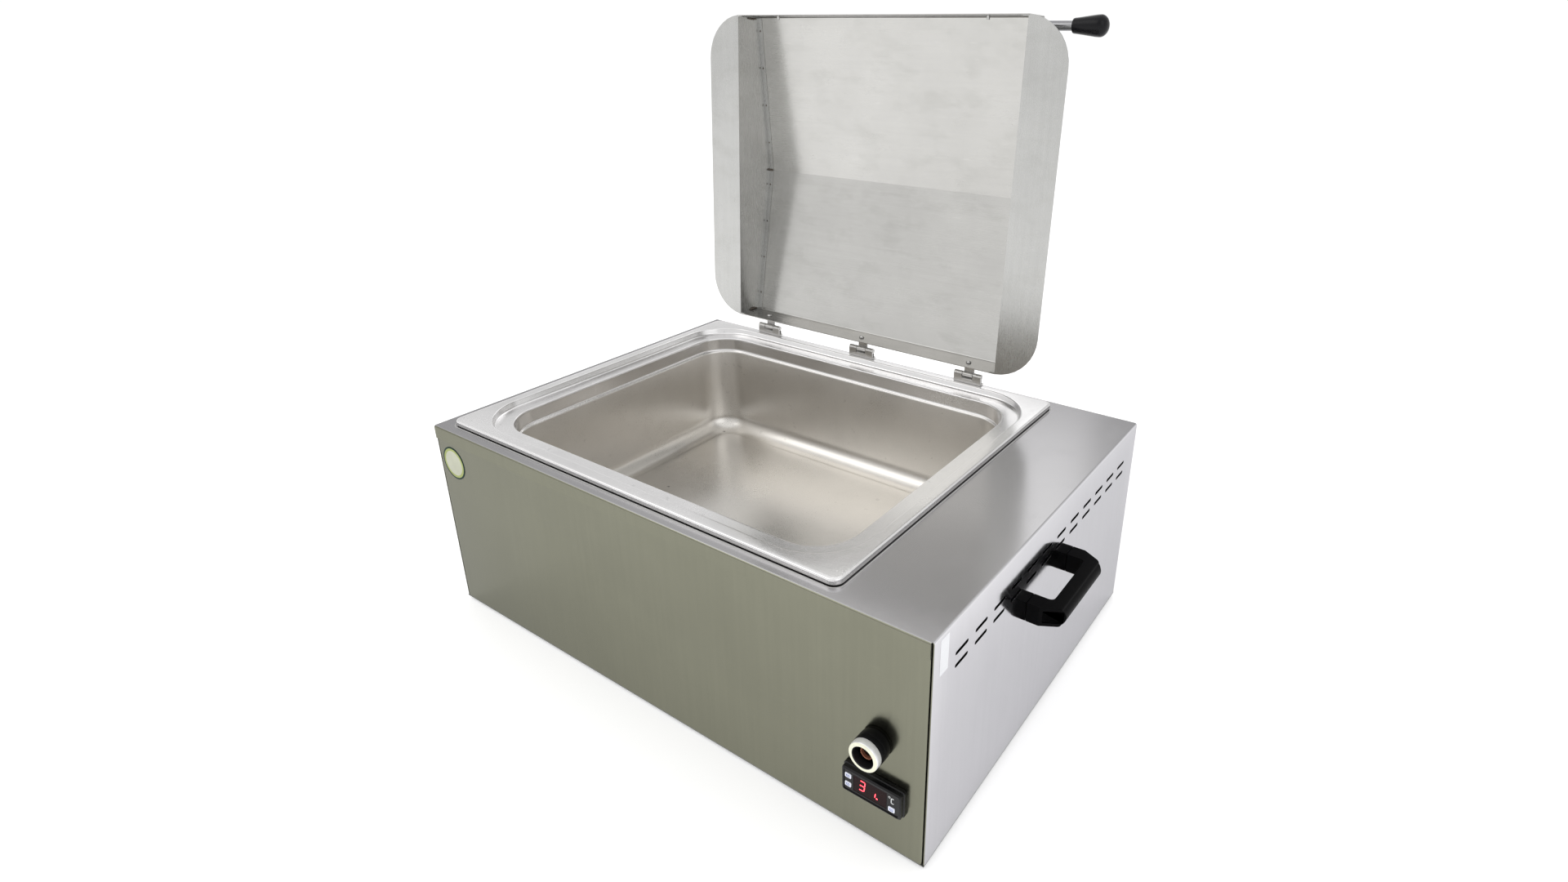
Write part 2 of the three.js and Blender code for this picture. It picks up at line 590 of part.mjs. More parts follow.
function buildElectrics() {
  const { x: [x0, x1], y: [y0, y1], base, top, step } = RELAY;
  const relay = join(box(x0, x1, y0, y1, panelLow, base),
    box(x0 + step, x1 - step, y0 + 2 * step, y1 - 2 * step, base - 5, top));
  piece(casing, 'power_relay', relay, paint(0x34383d, 0.5, 0));
  piece(casing, 'terminal_block', terminalBlock(), paint(0xe8e6df, 0.5, 0));
  const wallY = CASE.depth - PANEL.inset + FIT;
  const g = GLAND;
  const body = [[g.bore, -16], [g.bore, 24], [g.bore + 2, 24], [g.flange - 1.5, 19],
    [g.flange - 1.5, 8], [g.flange, 7], [g.flange, 0], [g.barrel, 0], [g.barrel, -16]];
  piece(casing, 'cable_gland', turnedRing(body, 'y', [g.x, wallY, g.z], 24), greyPlastic());
  const inside = CASE.depth - PANEL.inset - SHEET - FIT;
  const nut = new THREE.CylinderGeometry(13, 13, 5, 6).translate(g.x, inside - 2.5, g.z);
  piece(casing, 'gland_nut',
    cut(nut, cylinder(g.barrel + 0.4, -10, 10, 'y', [g.x, inside, g.z])), greyPlastic());
  piece(casing, 'heater_lead', lead([[RIM.x1 - MAT.inset + 0.6, LEAD.y, LEAD.z],
    [620, LEAD.y, LEAD.z], [650, LEAD.y, LEAD.z], [680, LEAD.y, LEAD.z], [706, 320, 104],
    [720, 370, 100], [724, 415, 104], [724, 431, 97], [724, 433, 88], [724, 433, top + 0.8]], 2.4),
    blackRubber());
  piece(casing, 'probe_lead', lead([[probeX, 308.8, PROBE.z], [probeX + 1.2, 312, PROBE.z],
    [650, 303, PROBE.z], [666, 300, PROBE.z], [684, 292, 160], [702, 240, 130], [716, 160, 96],
    [726, 100, 80], [731, 70, 76], [731, PANEL.inset + CONTROL_CASE.depth + 0.6, 75]], 1.6),
    greyPlastic());
  piece(casing, 'button_lead', lead([[740, BUTTON_Y.end + 34.6, BUTTON.z], [742, 80, 133],
    [760, 130, 110], [772, 220, 60], [774, 330, 28], [768, 430, 16], [757, 480, 10.4],
    [754, 498, 9.5], [754, 509.4, 9.5]], 2), blackRubber());
}

// ---------------------------------------------------------------- carrying handles

// A bridge: two feet on the panel, slanted ends and a bar bowed outwards at mid height.
function handleGeometry() {
  const { y, z, length, height, foot, straight } = GRIP;
  const { edge, middle, slant, bar } = GRIP_FACE;
  const base = FIT;
  const half = length / 2;
  const outline = new THREE.Shape();
  outline.moveTo(base, y - half);
  outline.lineTo(straight, y - half);
  outline.lineTo(middle, y - half + slant);
  outline.lineTo(middle, y + half - slant);
  outline.lineTo(straight, y + half);
  outline.lineTo(base, y + half);
  outline.lineTo(base, y + half - foot);
  const inner = edge - bar;
  const turn = GRIP_FACE.innerTurn;
  outline.lineTo(inner - turn, y + half - foot);
  outline.quadraticCurveTo(inner, y + half - foot, inner, y + half - foot - turn);
  outline.lineTo(inner, y - half + foot + turn);
  outline.quadraticCurveTo(inner, y - half + foot, inner - turn, y - half + foot);
  outline.lineTo(base, y - half + foot);
  const bridge = alongZ(outline, z - height / 2, z + height / 2);
  const low = z - height / 2;
  const crown = new THREE.Shape();
  crown.moveTo(base - 1, low + 0.01);
  crown.lineTo(straight, low + 0.01);
  crown.lineTo(edge - 2.5, low + 0.01);
  crown.quadraticCurveTo(edge + 0.5, low + 0.4, edge + 1, low + 3);
  crown.quadraticCurveTo(middle, z - 5, middle, z);
  crown.quadraticCurveTo(middle, z + 5, edge + 1, low + height - 3);
  crown.quadraticCurveTo(edge + 0.5, low + height - 0.4, edge - 2.5, low + height - 0.01);
  crown.lineTo(base - 1, low + height - 0.01);
  return common(bridge, alongY(new THREE.Shape(crown.getPoints(4)), y - half - 5, y + half + 5));
}

function buildHandles() {
  const right = handleGeometry();
  const left = mirroredX(right, 0);
  piece(casing, 'handle_right', right, blackPlastic()).position.x = CASE.width;
  piece(casing, 'handle_left', left, blackPlastic());
}

// ---------------------------------------------------------------- hinges

function hingeBase() {
  const { sheet, foot } = HINGE_BASE;
  const { y, z } = PIVOT;
  const front = y - LEAF.knuckle;
  const low = RIM.top + FIT;
  const strip = [[front, z], [front, low], [front + foot, low], [front + foot, low + sheet],
    [front + sheet, low + sheet], [front + sheet, z]];
  const body = join(alongX(strip, -HINGE.width / 2, HINGE.width / 2),
    cylinder(LEAF.knuckle, -HINGE.width / 2, HINGE.width / 2, 'x', [0, y, z], 20));
  const notch = box(-HINGE.notch / 2, HINGE.notch / 2, front - 5, y + 10, HINGE.notchLow, z + 10);
  const bore = cylinder(LEAF.bore, -HINGE.width, HINGE.width, 'x', [0, y, z], 20);
  return cut(body, notch, bore);
}

// The lid's leaf, drawn with the lid shut: plate on the skirt, arm, and middle knuckle.
function hingeLeaf() {
  const { y, z } = PIVOT;
  const { width, sheet, low, knuckle, bore, screwZ } = LEAF;
  const plate = LID.y1 + FIT;
  const armTop = z + knuckle;
  const path = filletPath([[plate, low], [plate, armTop], [y, armTop]], 2.6);
  const half = width / 2;
  const body = join(alongX(sheetSection(path, -sheet), -half, half),
    cylinder(knuckle, -half, half, 'x', [0, y, z], 20));
  return cut(body, cylinder(bore, -width, width, 'x', [0, y, z], 20),
    cylinder(2.3, -5, 8, 'y', [0, plate, screwZ], 16));
}

function leafScrew() {
  const inside = LID.y1 - SHEET - FIT;
  const profile = [[0, -2.8], [2.6, -2.6], [4, -1.2], [4, 0], [1.95, 0], [1.95, 5.4], [0, 5.4]];
  return turned(profile, 'y', [0, inside, LEAF.screwZ], 16);
}

function buildHinges() {
  HINGE.centres.forEach((x, i) => {
    const n = i + 1;
    const base = piece(casing, `hinge_base_${n}`, hingeBase(), hingeSteel());
    const end = HINGE.width / 2 + PIN.overhang;
    const pin = piece(casing, `hinge_pin_${n}`,
      cylinder(PIN.radius, -end, end, 'x', [0, PIVOT.y, PIVOT.z], 16), hingeSteel());
    const leaf = piece(lid, `hinge_leaf_${n}`, hingeLeaf(), hingeSteel());
    const screw = piece(lid, `leaf_screw_${n}`, leafScrew(), hingeSteel());
    for (const mesh of [base, pin, leaf, screw]) mesh.position.x = x;
  });
}

// ---------------------------------------------------------------- lid, drawn shut

const hoodLeft = LID.x0 + HOOD.side - SHEET;
const hoodRight = LID.x1 - HOOD.side + SHEET;
const lidMiddle = (LID.x0 + LID.x1) / 2;

// Outer face of skirts and roof in the (y, z) plane, moved inwards by a distance.
function roofPath(inward, bend) {
  const middle = (LID.y0 + LID.y1) / 2;
  const eave = LID.low + HOOD.skirt;
  const path = [[LID.y0, LID.low], [LID.y0, eave], [middle, LID.low + HOOD.ridge],
    [LID.y1, eave], [LID.y1, LID.low]];
  return offsetPath(filletPath(path, bend), -inward);
}

function hoodGeometry() {
  const hood = alongX(sheetSection(roofPath(0, HOOD.bend), -SHEET), hoodLeft, hoodRight);
  const holes = HINGE.centres.map((x) => cylinder(2.3, -10, 10, 'y', [x, LID.y1, LEAF.screwZ], 16));
  const studHoles = STUD.x.map((x) =>
    cylinder(STUD.radius + FIT, -5, 5, 'y', [x, LID.y0, LID.low + STUD.up], 16));
  return cut(hood, ...holes, ...studHoles);
}

// Left gable: end wall, side flange with rounded corners, and a strip lapped under the roof.
function gableGeometry() {
  const inner = SHEET + FIT;
  const wallPath = roofPath(inner, HOOD.bend);
  const wall = alongX(wallPath, hoodLeft, hoodLeft + SHEET);
  const lap = alongX(sheetSection(wallPath, -HOOD.lapSheet), hoodLeft, hoodLeft + SHEET + HOOD.lap);
  const edge = hoodLeft - FIT;
  const flange = new THREE.Shape();
  const r = LID.corner;
  const reach = Math.min(r, edge - LID.x0);
  const yAt = r - Math.sqrt(r * r - (r - reach) * (r - reach));
  const steps = 9;
  const arcEnd = Math.acos((r - reach) / r);
  const corner = (cy, sign) => {
    const points = [];
    for (let i = 0; i <= steps; i++) {
      const turn = arcEnd * i / steps;
      points.push([LID.x0 + r - r * Math.cos(turn), cy + sign * r * Math.sin(turn)]);
    }
    return points;
  };
  const front = corner(LID.y0 + r, -1).reverse();
  const back = corner(LID.y1 - r, 1);
  const outline = [[edge, LID.y0 + yAt], ...front, ...back, [edge, LID.y1 - yAt]];
  outline.push([edge, LID.y1 - inner], [hoodLeft + SHEET, LID.y1 - inner],
    [hoodLeft + SHEET, LID.y0 + inner], [edge, LID.y0 + inner]);
  const seen = outline.filter(([x, y], i) => {
    const [px, py] = outline[(i + outline.length - 1) % outline.length];
    return Math.hypot(x - px, y - py) > 1e-3;
  });
  const plate = alongZ(shapeOf(seen), LID.low, LID.low + SHEET);
  return join(wall, lap, plate);
}

function knobGeometry() {
  const { length, small, large, socket } = KNOB;
  const bore = ROD.radius + FIT;
  const profile = [[bore, 0], [small - 1, 0], [small, 1.2]];
  const steps = 5;
  const shoulder = length - large * 0.8;
  profile.push([small + (large - small) * 0.45, shoulder * 0.4]);
  profile.push([large - 0.6, shoulder * 0.85]);
  for (let i = 0; i < steps; i++) {
    const turn = i / steps * Math.PI / 2;
    profile.push([large * Math.cos(turn), shoulder + large * 0.8 * Math.sin(turn)]);
  }
  profile.push([0, length], [0, socket], [bore, socket], [bore, 0]);
  return turned(profile, 'x', [0, 0, 0], 24);
}

function buildLid() {
  piece(lid, 'lid_hood', hoodGeometry(), satinSteel());
  const gable = gableGeometry();
  piece(lid, 'lid_gable_left', gable, satinSteel());
  const rodAt = [0, LID.y0 + ROD.fromFront, LID.low + ROD.up];
  const boltHole = cylinder(ROD.bolt + FIT, hoodRight - 10, hoodRight + 10, 'x', rodAt, 16);
  piece(lid, 'lid_gable_right', cut(mirroredX(gable, lidMiddle), boltHole), satinSteel());
  const start = hoodRight + FIT;
  const rodEnd = KNOB.start + KNOB.socket - 1;
  const r = ROD.radius;
  const rod = [[r - 0.6, start], [r, start + 0.6], [r, rodEnd - 1], [r - 1, rodEnd], [0, rodEnd],
    [0, start + ROD.boltDepth + 2], [ROD.bolt + FIT, start + ROD.boltDepth + 2],
    [ROD.bolt + FIT, start]];
  piece(lid, 'lid_rod', turnedRing(rod, 'x', rodAt, 24), mirrorSteel());
  piece(lid, 'lid_knob', knobGeometry(), blackPlastic()).position.set(KNOB.start, rodAt[1], rodAt[2]);
  const seat = hoodRight - SHEET - FIT;
  const head = new THREE.CylinderGeometry(7.5, 7.5, 5.3, 6).rotateZ(Math.PI / 2);
  head.translate(seat - 2.65, rodAt[1], rodAt[2]);
  const shank = cylinder(ROD.bolt, seat - 1, start + ROD.boltDepth, 'x', rodAt, 16);
  piece(lid, 'rod_bolt', join(head, shank), hingeSteel());
  STUD.x.forEach((x, i) => {
    const stud = [[0, -1.1], [STUD.head - 0.8, -1.1], [STUD.head, -0.3], [STUD.radius, -0.3],
      [STUD.radius, STUD.inward], [0, STUD.inward]];
    piece(lid, `front_stud_${i + 1}`,
      turned(stud, 'y', [x, LID.y0, LID.low + STUD.up], 16), hingeSteel());
  });
}

// ---------------------------------------------------------------- assembly

buildCasing();
buildPan();
buildHeating();
buildController();
buildButton();
buildElectrics();
buildHandles();
buildHinges();
buildLid();

// The lid turns about the hinge pins; it stands open.
const lidPivot = new THREE.Group();
lid.position.set(0, -PIVOT.y, -PIVOT.z);
lidPivot.add(lid);
lidPivot.position.set(0, PIVOT.y, PIVOT.z);
lidPivot.rotation.x = THREE.MathUtils.degToRad(-OPEN_ANGLE);
casing.add(lidPivot);

const bath = new THREE.Group();
const middleY = (CASE.depth + REACH.back - REACH.front) / 2;
casing.position.set(-CASE.width / 2, -middleY, FOOT.height);
bath.add(casing);

export default bath;
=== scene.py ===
"""Table-top paraffin wax bath with its lid open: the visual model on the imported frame.

Lengths in the tables below are millimetres in the corner frame, whose origin is the
casing's front left bottom corner. at() turns them into metres in the row frame.
"""

import json
import math
import random

import bmesh
import bpy
from mathutils import Matrix, Vector, noise

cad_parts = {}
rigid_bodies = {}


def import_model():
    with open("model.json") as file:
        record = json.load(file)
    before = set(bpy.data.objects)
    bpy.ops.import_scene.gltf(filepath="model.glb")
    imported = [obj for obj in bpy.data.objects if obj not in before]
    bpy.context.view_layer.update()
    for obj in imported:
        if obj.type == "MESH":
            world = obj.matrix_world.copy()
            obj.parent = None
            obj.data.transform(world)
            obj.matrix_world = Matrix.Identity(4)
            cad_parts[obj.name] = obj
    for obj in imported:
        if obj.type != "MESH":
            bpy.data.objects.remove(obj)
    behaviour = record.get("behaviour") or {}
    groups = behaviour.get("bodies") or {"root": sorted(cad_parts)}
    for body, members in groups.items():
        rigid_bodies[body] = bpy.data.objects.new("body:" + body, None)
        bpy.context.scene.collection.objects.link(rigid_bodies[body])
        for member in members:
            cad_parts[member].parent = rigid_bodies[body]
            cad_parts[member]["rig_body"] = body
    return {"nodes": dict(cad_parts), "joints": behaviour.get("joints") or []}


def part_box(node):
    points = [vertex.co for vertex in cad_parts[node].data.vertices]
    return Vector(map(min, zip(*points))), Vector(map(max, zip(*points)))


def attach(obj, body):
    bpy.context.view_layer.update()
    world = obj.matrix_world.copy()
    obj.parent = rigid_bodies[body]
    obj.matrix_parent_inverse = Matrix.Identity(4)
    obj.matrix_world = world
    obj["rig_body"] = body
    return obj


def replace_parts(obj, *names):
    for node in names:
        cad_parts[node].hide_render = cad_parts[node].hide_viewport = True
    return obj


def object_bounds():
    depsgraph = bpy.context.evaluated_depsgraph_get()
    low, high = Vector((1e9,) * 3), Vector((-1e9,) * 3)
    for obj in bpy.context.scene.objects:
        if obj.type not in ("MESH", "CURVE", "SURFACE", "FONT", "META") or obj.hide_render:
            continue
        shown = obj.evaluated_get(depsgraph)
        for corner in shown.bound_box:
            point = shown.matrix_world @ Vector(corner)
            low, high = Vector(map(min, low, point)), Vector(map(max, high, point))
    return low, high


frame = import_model()
cad_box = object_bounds()
random.seed(7)

MM = 0.001
CASE_HEIGHT = 282
SHEET = 1.2
HINGE_WEB_TOP = 297.6
PAN_CORNER_STEPS = 24

cover_low, cover_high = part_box("top_cover")
CORNER = Vector((cover_low.x, cover_low.y, cover_high.z - CASE_HEIGHT * MM))
CASE_WIDTH = (cover_high.x - cover_low.x) / MM


def at(x, y, z):
    """A point of the corner frame, in metres in the row frame."""
    return CORNER + Vector((x, y, z)) * MM


def corner_box(node):
    """A CAD node's lowest and highest corners, in millimetres of the corner frame."""
    low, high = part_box(node)
    return (low - CORNER) / MM, (high - CORNER) / MM


hinge = next(j for j in frame["joints"] if j["name"] == "lid_hinge")
HINGE_POINT = Vector(hinge["pos_m"])
OPEN_ANGLE = math.radians(93.25)
LID_TURN = (
    Matrix.Translation(HINGE_POINT)
    @ Matrix.Rotation(-OPEN_ANGLE, 4, "X")
    @ Matrix.Translation(-HINGE_POINT)
)


def lid_at(x, y, z):
    """As at(), for a point of the lid measured with the lid shut; the lid stands open."""
    return LID_TURN @ at(x, y, z)


# ---------------------------------------------------------------- node materials


def linear(value):
    value /= 255
    return value / 12.92 if value <= 0.04045 else ((value + 0.055) / 1.055) ** 2.4


def rgb(red, green, blue):
    return (linear(red), linear(green), linear(blue), 1.0)


class Paint:
    """One procedural material. Textures read the piece's own object coordinates."""

    def __init__(self, name, **sockets):
        self.material = bpy.data.materials.new(name)
        self.material.use_nodes = True
        self.tree = self.material.node_tree
        self.shader = self.tree.nodes["Principled BSDF"]
        self.place = self.add("ShaderNodeTexCoord").outputs["Object"]
        for socket, value in sockets.items():
            self.shader.inputs[socket.replace("_", " ")].default_value = value

    def add(self, kind, **settings):
        node = self.tree.nodes.new(kind)
        for key, value in settings.items():
            setattr(node, key, value)
        return node

    def put(self, target, value):
        if isinstance(value, bpy.types.NodeSocket):
            self.tree.links.new(value, target)
        else:
            target.default_value = value

    def set(self, socket, value):
        self.put(self.shader.inputs[socket], value)

    def noise(self, scale, detail=2.0, roughness=0.5, turn=(0, 0, 0)):
        mapping = self.add("ShaderNodeMapping")
        mapping.inputs["Scale"].default_value = scale
        mapping.inputs["Rotation"].default_value = [math.radians(a) for a in turn]
        self.put(mapping.inputs["Vector"], self.place)
        texture = self.add("ShaderNodeTexNoise")
        texture.inputs["Scale"].default_value = 1.0
        texture.inputs["Detail"].default_value = detail
        texture.inputs["Roughness"].default_value = roughness
        self.put(texture.inputs["Vector"], mapping.outputs["Vector"])
        return texture.outputs[0]

    def span(self, value, low, high, bottom=0.0, top=1.0, smooth=False):
        node = self.add("ShaderNodeMapRange")
        node.interpolation_type = "SMOOTHSTEP" if smooth else "LINEAR"
        limits = {"From Min": low, "From Max": high, "To Min": bottom, "To Max": top}
        for socket, number in limits.items():
            node.inputs[socket].default_value = number
        self.put(node.inputs["Value"], value)
        return node.outputs["Result"]

    def along(self, direction, origin):
        """Signed distance from origin along a direction, in millimetres."""
        shifted = self.add("ShaderNodeVectorMath", operation="SUBTRACT")
        self.put(shifted.inputs[0], self.place)
        shifted.inputs[1].default_value = origin
        dot = self.add("ShaderNodeVectorMath", operation="DOT_PRODUCT")
        self.put(dot.inputs[0], shifted.outputs["Vector"])
        dot.inputs[1].default_value = Vector(direction).normalized() / MM
        return dot.outputs["Value"]

    def maths(self, operation, first, second):
        node = self.add("ShaderNodeMath", operation=operation)
        self.put(node.inputs[0], first)
        self.put(node.inputs[1], second)
        return node.outputs["Value"]

    def mixed(self, factor, first, second):
        node = self.add("ShaderNodeMix", data_type="RGBA")
        self.put(node.inputs[0], factor)
        self.put(node.inputs[6], first)
        self.put(node.inputs[7], second)
        return node.outputs[2]

    def scaled(self, colour, value):
        node = self.add("ShaderNodeVectorMath", operation="SCALE")
        plain = not isinstance(colour, bpy.types.NodeSocket)
        self.put(node.inputs[0], colour[:3] if plain else colour)
        self.put(node.inputs["Scale"], value)
        return node.outputs["Vector"]

    def blob(self, centre, radii):
        """1 at a point, falling to 0 on an ellipsoid round it."""
        shifted = self.add("ShaderNodeVectorMath", operation="SUBTRACT")
        self.put(shifted.inputs[0], self.place)
        shifted.inputs[1].default_value = centre
        shrunk = self.add("ShaderNodeVectorMath", operation="DIVIDE")
        self.put(shrunk.inputs[0], shifted.outputs["Vector"])
        shrunk.inputs[1].default_value = [r * MM for r in radii]
        length = self.add("ShaderNodeVectorMath", operation="LENGTH")
        self.put(length.inputs[0], shrunk.outputs["Vector"])
        return self.span(length.outputs["Value"], 0.0, 1.0, 1.0, 0.0, smooth=True)

    def bump(self, height, strength, distance):
        node = self.add("ShaderNodeBump")
        node.inputs["Strength"].default_value = strength
        node.inputs["Distance"].default_value = distance * MM
        self.put(node.inputs["Height"], height)
        previous = self.shader.inputs["Normal"].links
        if previous:
            self.put(node.inputs["Normal"], previous[0].from_socket)
        self.put(self.shader.inputs["Normal"], node.outputs["Normal"])

    def tangent(self, direction):
        turned = self.add("ShaderNodeVectorTransform", vector_type="VECTOR")
        turned.convert_from = "OBJECT"
        turned.convert_to = "WORLD"
        turned.inputs["Vector"].default_value = direction
        self.put(self.shader.inputs["Tangent"], turned.outputs["Vector"])


AXIS = {"x": Vector((1, 0, 0)), "y": Vector((0, 1, 0)), "z": Vector((0, 0, 1))}


def steel(name, colour, grain="z", roughness=0.28, streak=0.05, cloud=0.06, aniso=0.4,
          bump=0.12, grit=0.04, tone=None):
    """Rolled or brushed stainless sheet: grain lines, cloudy tone, smudges, hairline scratches."""
    paint = Paint(name, Metallic=1.0, Anisotropic=aniso, Specular_Tint=(0.6, 0.6, 0.61, 1.0))
    fine = [9.0 if axis == grain else 1500.0 for axis in "xyz"]
    wide = [3.0 if axis == grain else 170.0 for axis in "xyz"]
    lines = paint.noise(fine, detail=3.0, roughness=0.7)
    bands = paint.noise(wide, detail=3.0)
    cloudy = paint.noise((7.0, 7.0, 7.0), detail=4.0, roughness=0.6)
    smudge = paint.span(paint.noise((26.0, 19.0, 23.0), detail=5.0, roughness=0.65), 0.55, 0.75)
    scratch_a = paint.noise((45.0, 2400.0, 700.0), detail=1.0, turn=(0, 24, 31))
    scratch = paint.span(scratch_a, 0.755, 0.79)
    base = tone(paint, colour) if tone else colour
    shade = paint.span(cloudy, 0.3, 0.7, 1 - cloud, 1 + cloud)
    shade = paint.maths("MULTIPLY", shade, paint.span(bands, 0.3, 0.7, 1 - streak, 1 + streak))
    shade = paint.maths("MULTIPLY", shade, paint.span(lines, 0.3, 0.7, 1 - streak, 1 + streak))
    shade = paint.maths("ADD", shade, paint.span(scratch, 0.0, 1.0, 0.0, 0.10))
    paint.set("Base Color", paint.scaled(base, shade))
    rough = paint.span(lines, 0.3, 0.7, roughness - grit, roughness + grit)
    rough = paint.maths("ADD", rough, paint.span(smudge, 0.0, 1.0, 0.0, 0.04))
    rough = paint.maths("ADD", rough, paint.span(cloudy, 0.3, 0.7, -0.02, 0.02))
    paint.set("Roughness", rough)
    paint.tangent(AXIS["x"] if grain == "z" else AXIS["y"])
    paint.bump(lines, bump, 0.02)
    paint.bump(cloudy, 0.25, 0.25)
    return paint


def stained_tone(paint, colour):
    """A steel colour with faint cloudy stains, for the lid's sheets."""
    stain = paint.noise((16.0, 16.0, 34.0), detail=4.0, roughness=0.62)
    stain = paint.maths("MULTIPLY", paint.span(stain, 0.5, 0.68), 0.22)
    return paint.mixed(stain, colour, rgb(168, 168, 163))


def plain(name, colour, roughness=0.5, grain=(900.0, 900.0, 900.0), depth=0.03, variation=0.12,
          **sockets):
    """Moulded plastic or rubber: fine texture, slight tone variation, worn and dusty patches."""
    paint = Paint(name, **sockets)
    fine = paint.noise(grain, detail=4.0, roughness=0.6)
    cloudy = paint.noise((28.0, 28.0, 28.0), detail=4.0)
    shade = paint.span(cloudy, 0.3, 0.7, 1 - variation, 1 + variation)
    paint.set("Base Color", paint.scaled(colour, shade))
    rough = paint.span(fine, 0.3, 0.7, roughness - 0.06, roughness + 0.06)
    paint.set("Roughness", paint.maths("ADD", rough, paint.span(cloudy, 0.4, 0.7, 0.0, 0.06)))
    paint.bump(fine, 0.35, depth)
    return paint


def pan_paint():
    paint = Paint("pan_steel_look", Metallic=1.0)
    cloudy = paint.noise((6.0, 6.0, 6.0), detail=4.0, roughness=0.55)
    grain = paint.noise((700.0, 700.0, 700.0), detail=3.0, roughness=0.7)
    spots = paint.span(paint.noise((90.0, 90.0, 90.0), detail=2.0), 0.70, 0.74)
    z = paint.along((0, 0, 1), at(0, 0, 0))
    inside = paint.span(z, 255, 262, 1.0, 0.0)
    base = paint.mixed(inside, rgb(226, 225, 225), rgb(214, 211, 206))
    shade = paint.span(cloudy, 0.3, 0.7, 0.92, 1.08)
    shade = paint.maths("MULTIPLY", shade, paint.span(grain, 0.3, 0.7, 0.965, 1.035))
    shade = paint.maths("SUBTRACT", shade, paint.span(spots, 0.0, 1.0, 0.0, 0.10))
    for x, y in ((163, 266), (98, 465)):
        mark = paint.blob(at(x, y, 115), (4.0, 3.0, 3.0))
        shade = paint.maths("SUBTRACT", shade, paint.maths("MULTIPLY", mark, 0.7))
    paint.set("Base Color", paint.scaled(base, shade))
    rough = paint.span(grain, 0.3, 0.7, 0.27, 0.33)
    rough = paint.maths("SUBTRACT", rough, paint.span(inside, 0.0, 1.0, 0.06, 0.0))
    paint.set("Roughness", paint.maths("ADD", rough, paint.span(cloudy, 0.3, 0.7, -0.03, 0.03)))
    paint.bump(grain, 0.15, 0.02)
    paint.bump(cloudy, 0.3, 0.3)
    return paint


def turned_metal(name, colour, axis, centre, roughness=0.25, metallic=1.0):
    """Turned on a lathe: fine rings round the axis."""
    paint = Paint(name, Metallic=metallic)
    across = [AXIS[a] for a in "xyz" if a != axis]
    squares = [paint.maths("POWER", paint.along(a, centre), 2.0) for a in across]
    radius = paint.maths("SQRT", paint.maths("ADD", *squares), 0.0)
    rings = paint.maths("SINE", paint.maths("MULTIPLY", radius, 26.0), 0.0)
    cloudy = paint.noise((120.0, 120.0, 120.0), detail=3.0)
    shade = paint.span(cloudy, 0.3, 0.7, 0.93, 1.05)
    shade = paint.maths("ADD", shade, paint.maths("MULTIPLY", rings, 0.02))
    paint.set("Base Color", paint.scaled(colour, shade))
    paint.set("Roughness", paint.span(cloudy, 0.3, 0.7, roughness - 0.04, roughness + 0.05))
    paint.bump(rings, 0.10, 0.01)
    return paint


def glowing(name, colour, strength):
    paint = Paint(name, Roughness=0.35, Emission_Strength=strength)
    uneven = paint.span(paint.noise((400.0, 400.0, 400.0), detail=1.0), 0.3, 0.7, 0.9, 1.1)
    paint.set("Base Color", paint.scaled(colour, paint.maths("MULTIPLY", uneven, 0.5)))
    paint.set("Emission Color", paint.scaled(colour, uneven))
    return paint


def fibrous(name, colour, dark):
    paint = Paint(name)
    fibre = paint.noise((260.0, 900.0, 420.0), detail=5.0, roughness=0.7)
    paint.set("Base Color", paint.mixed(fibre, dark, colour))
    paint.set("Roughness", paint.span(fibre, 0.3, 0.7, 0.85, 1.0))
    paint.bump(fibre, 0.8, 0.8)
    return paint


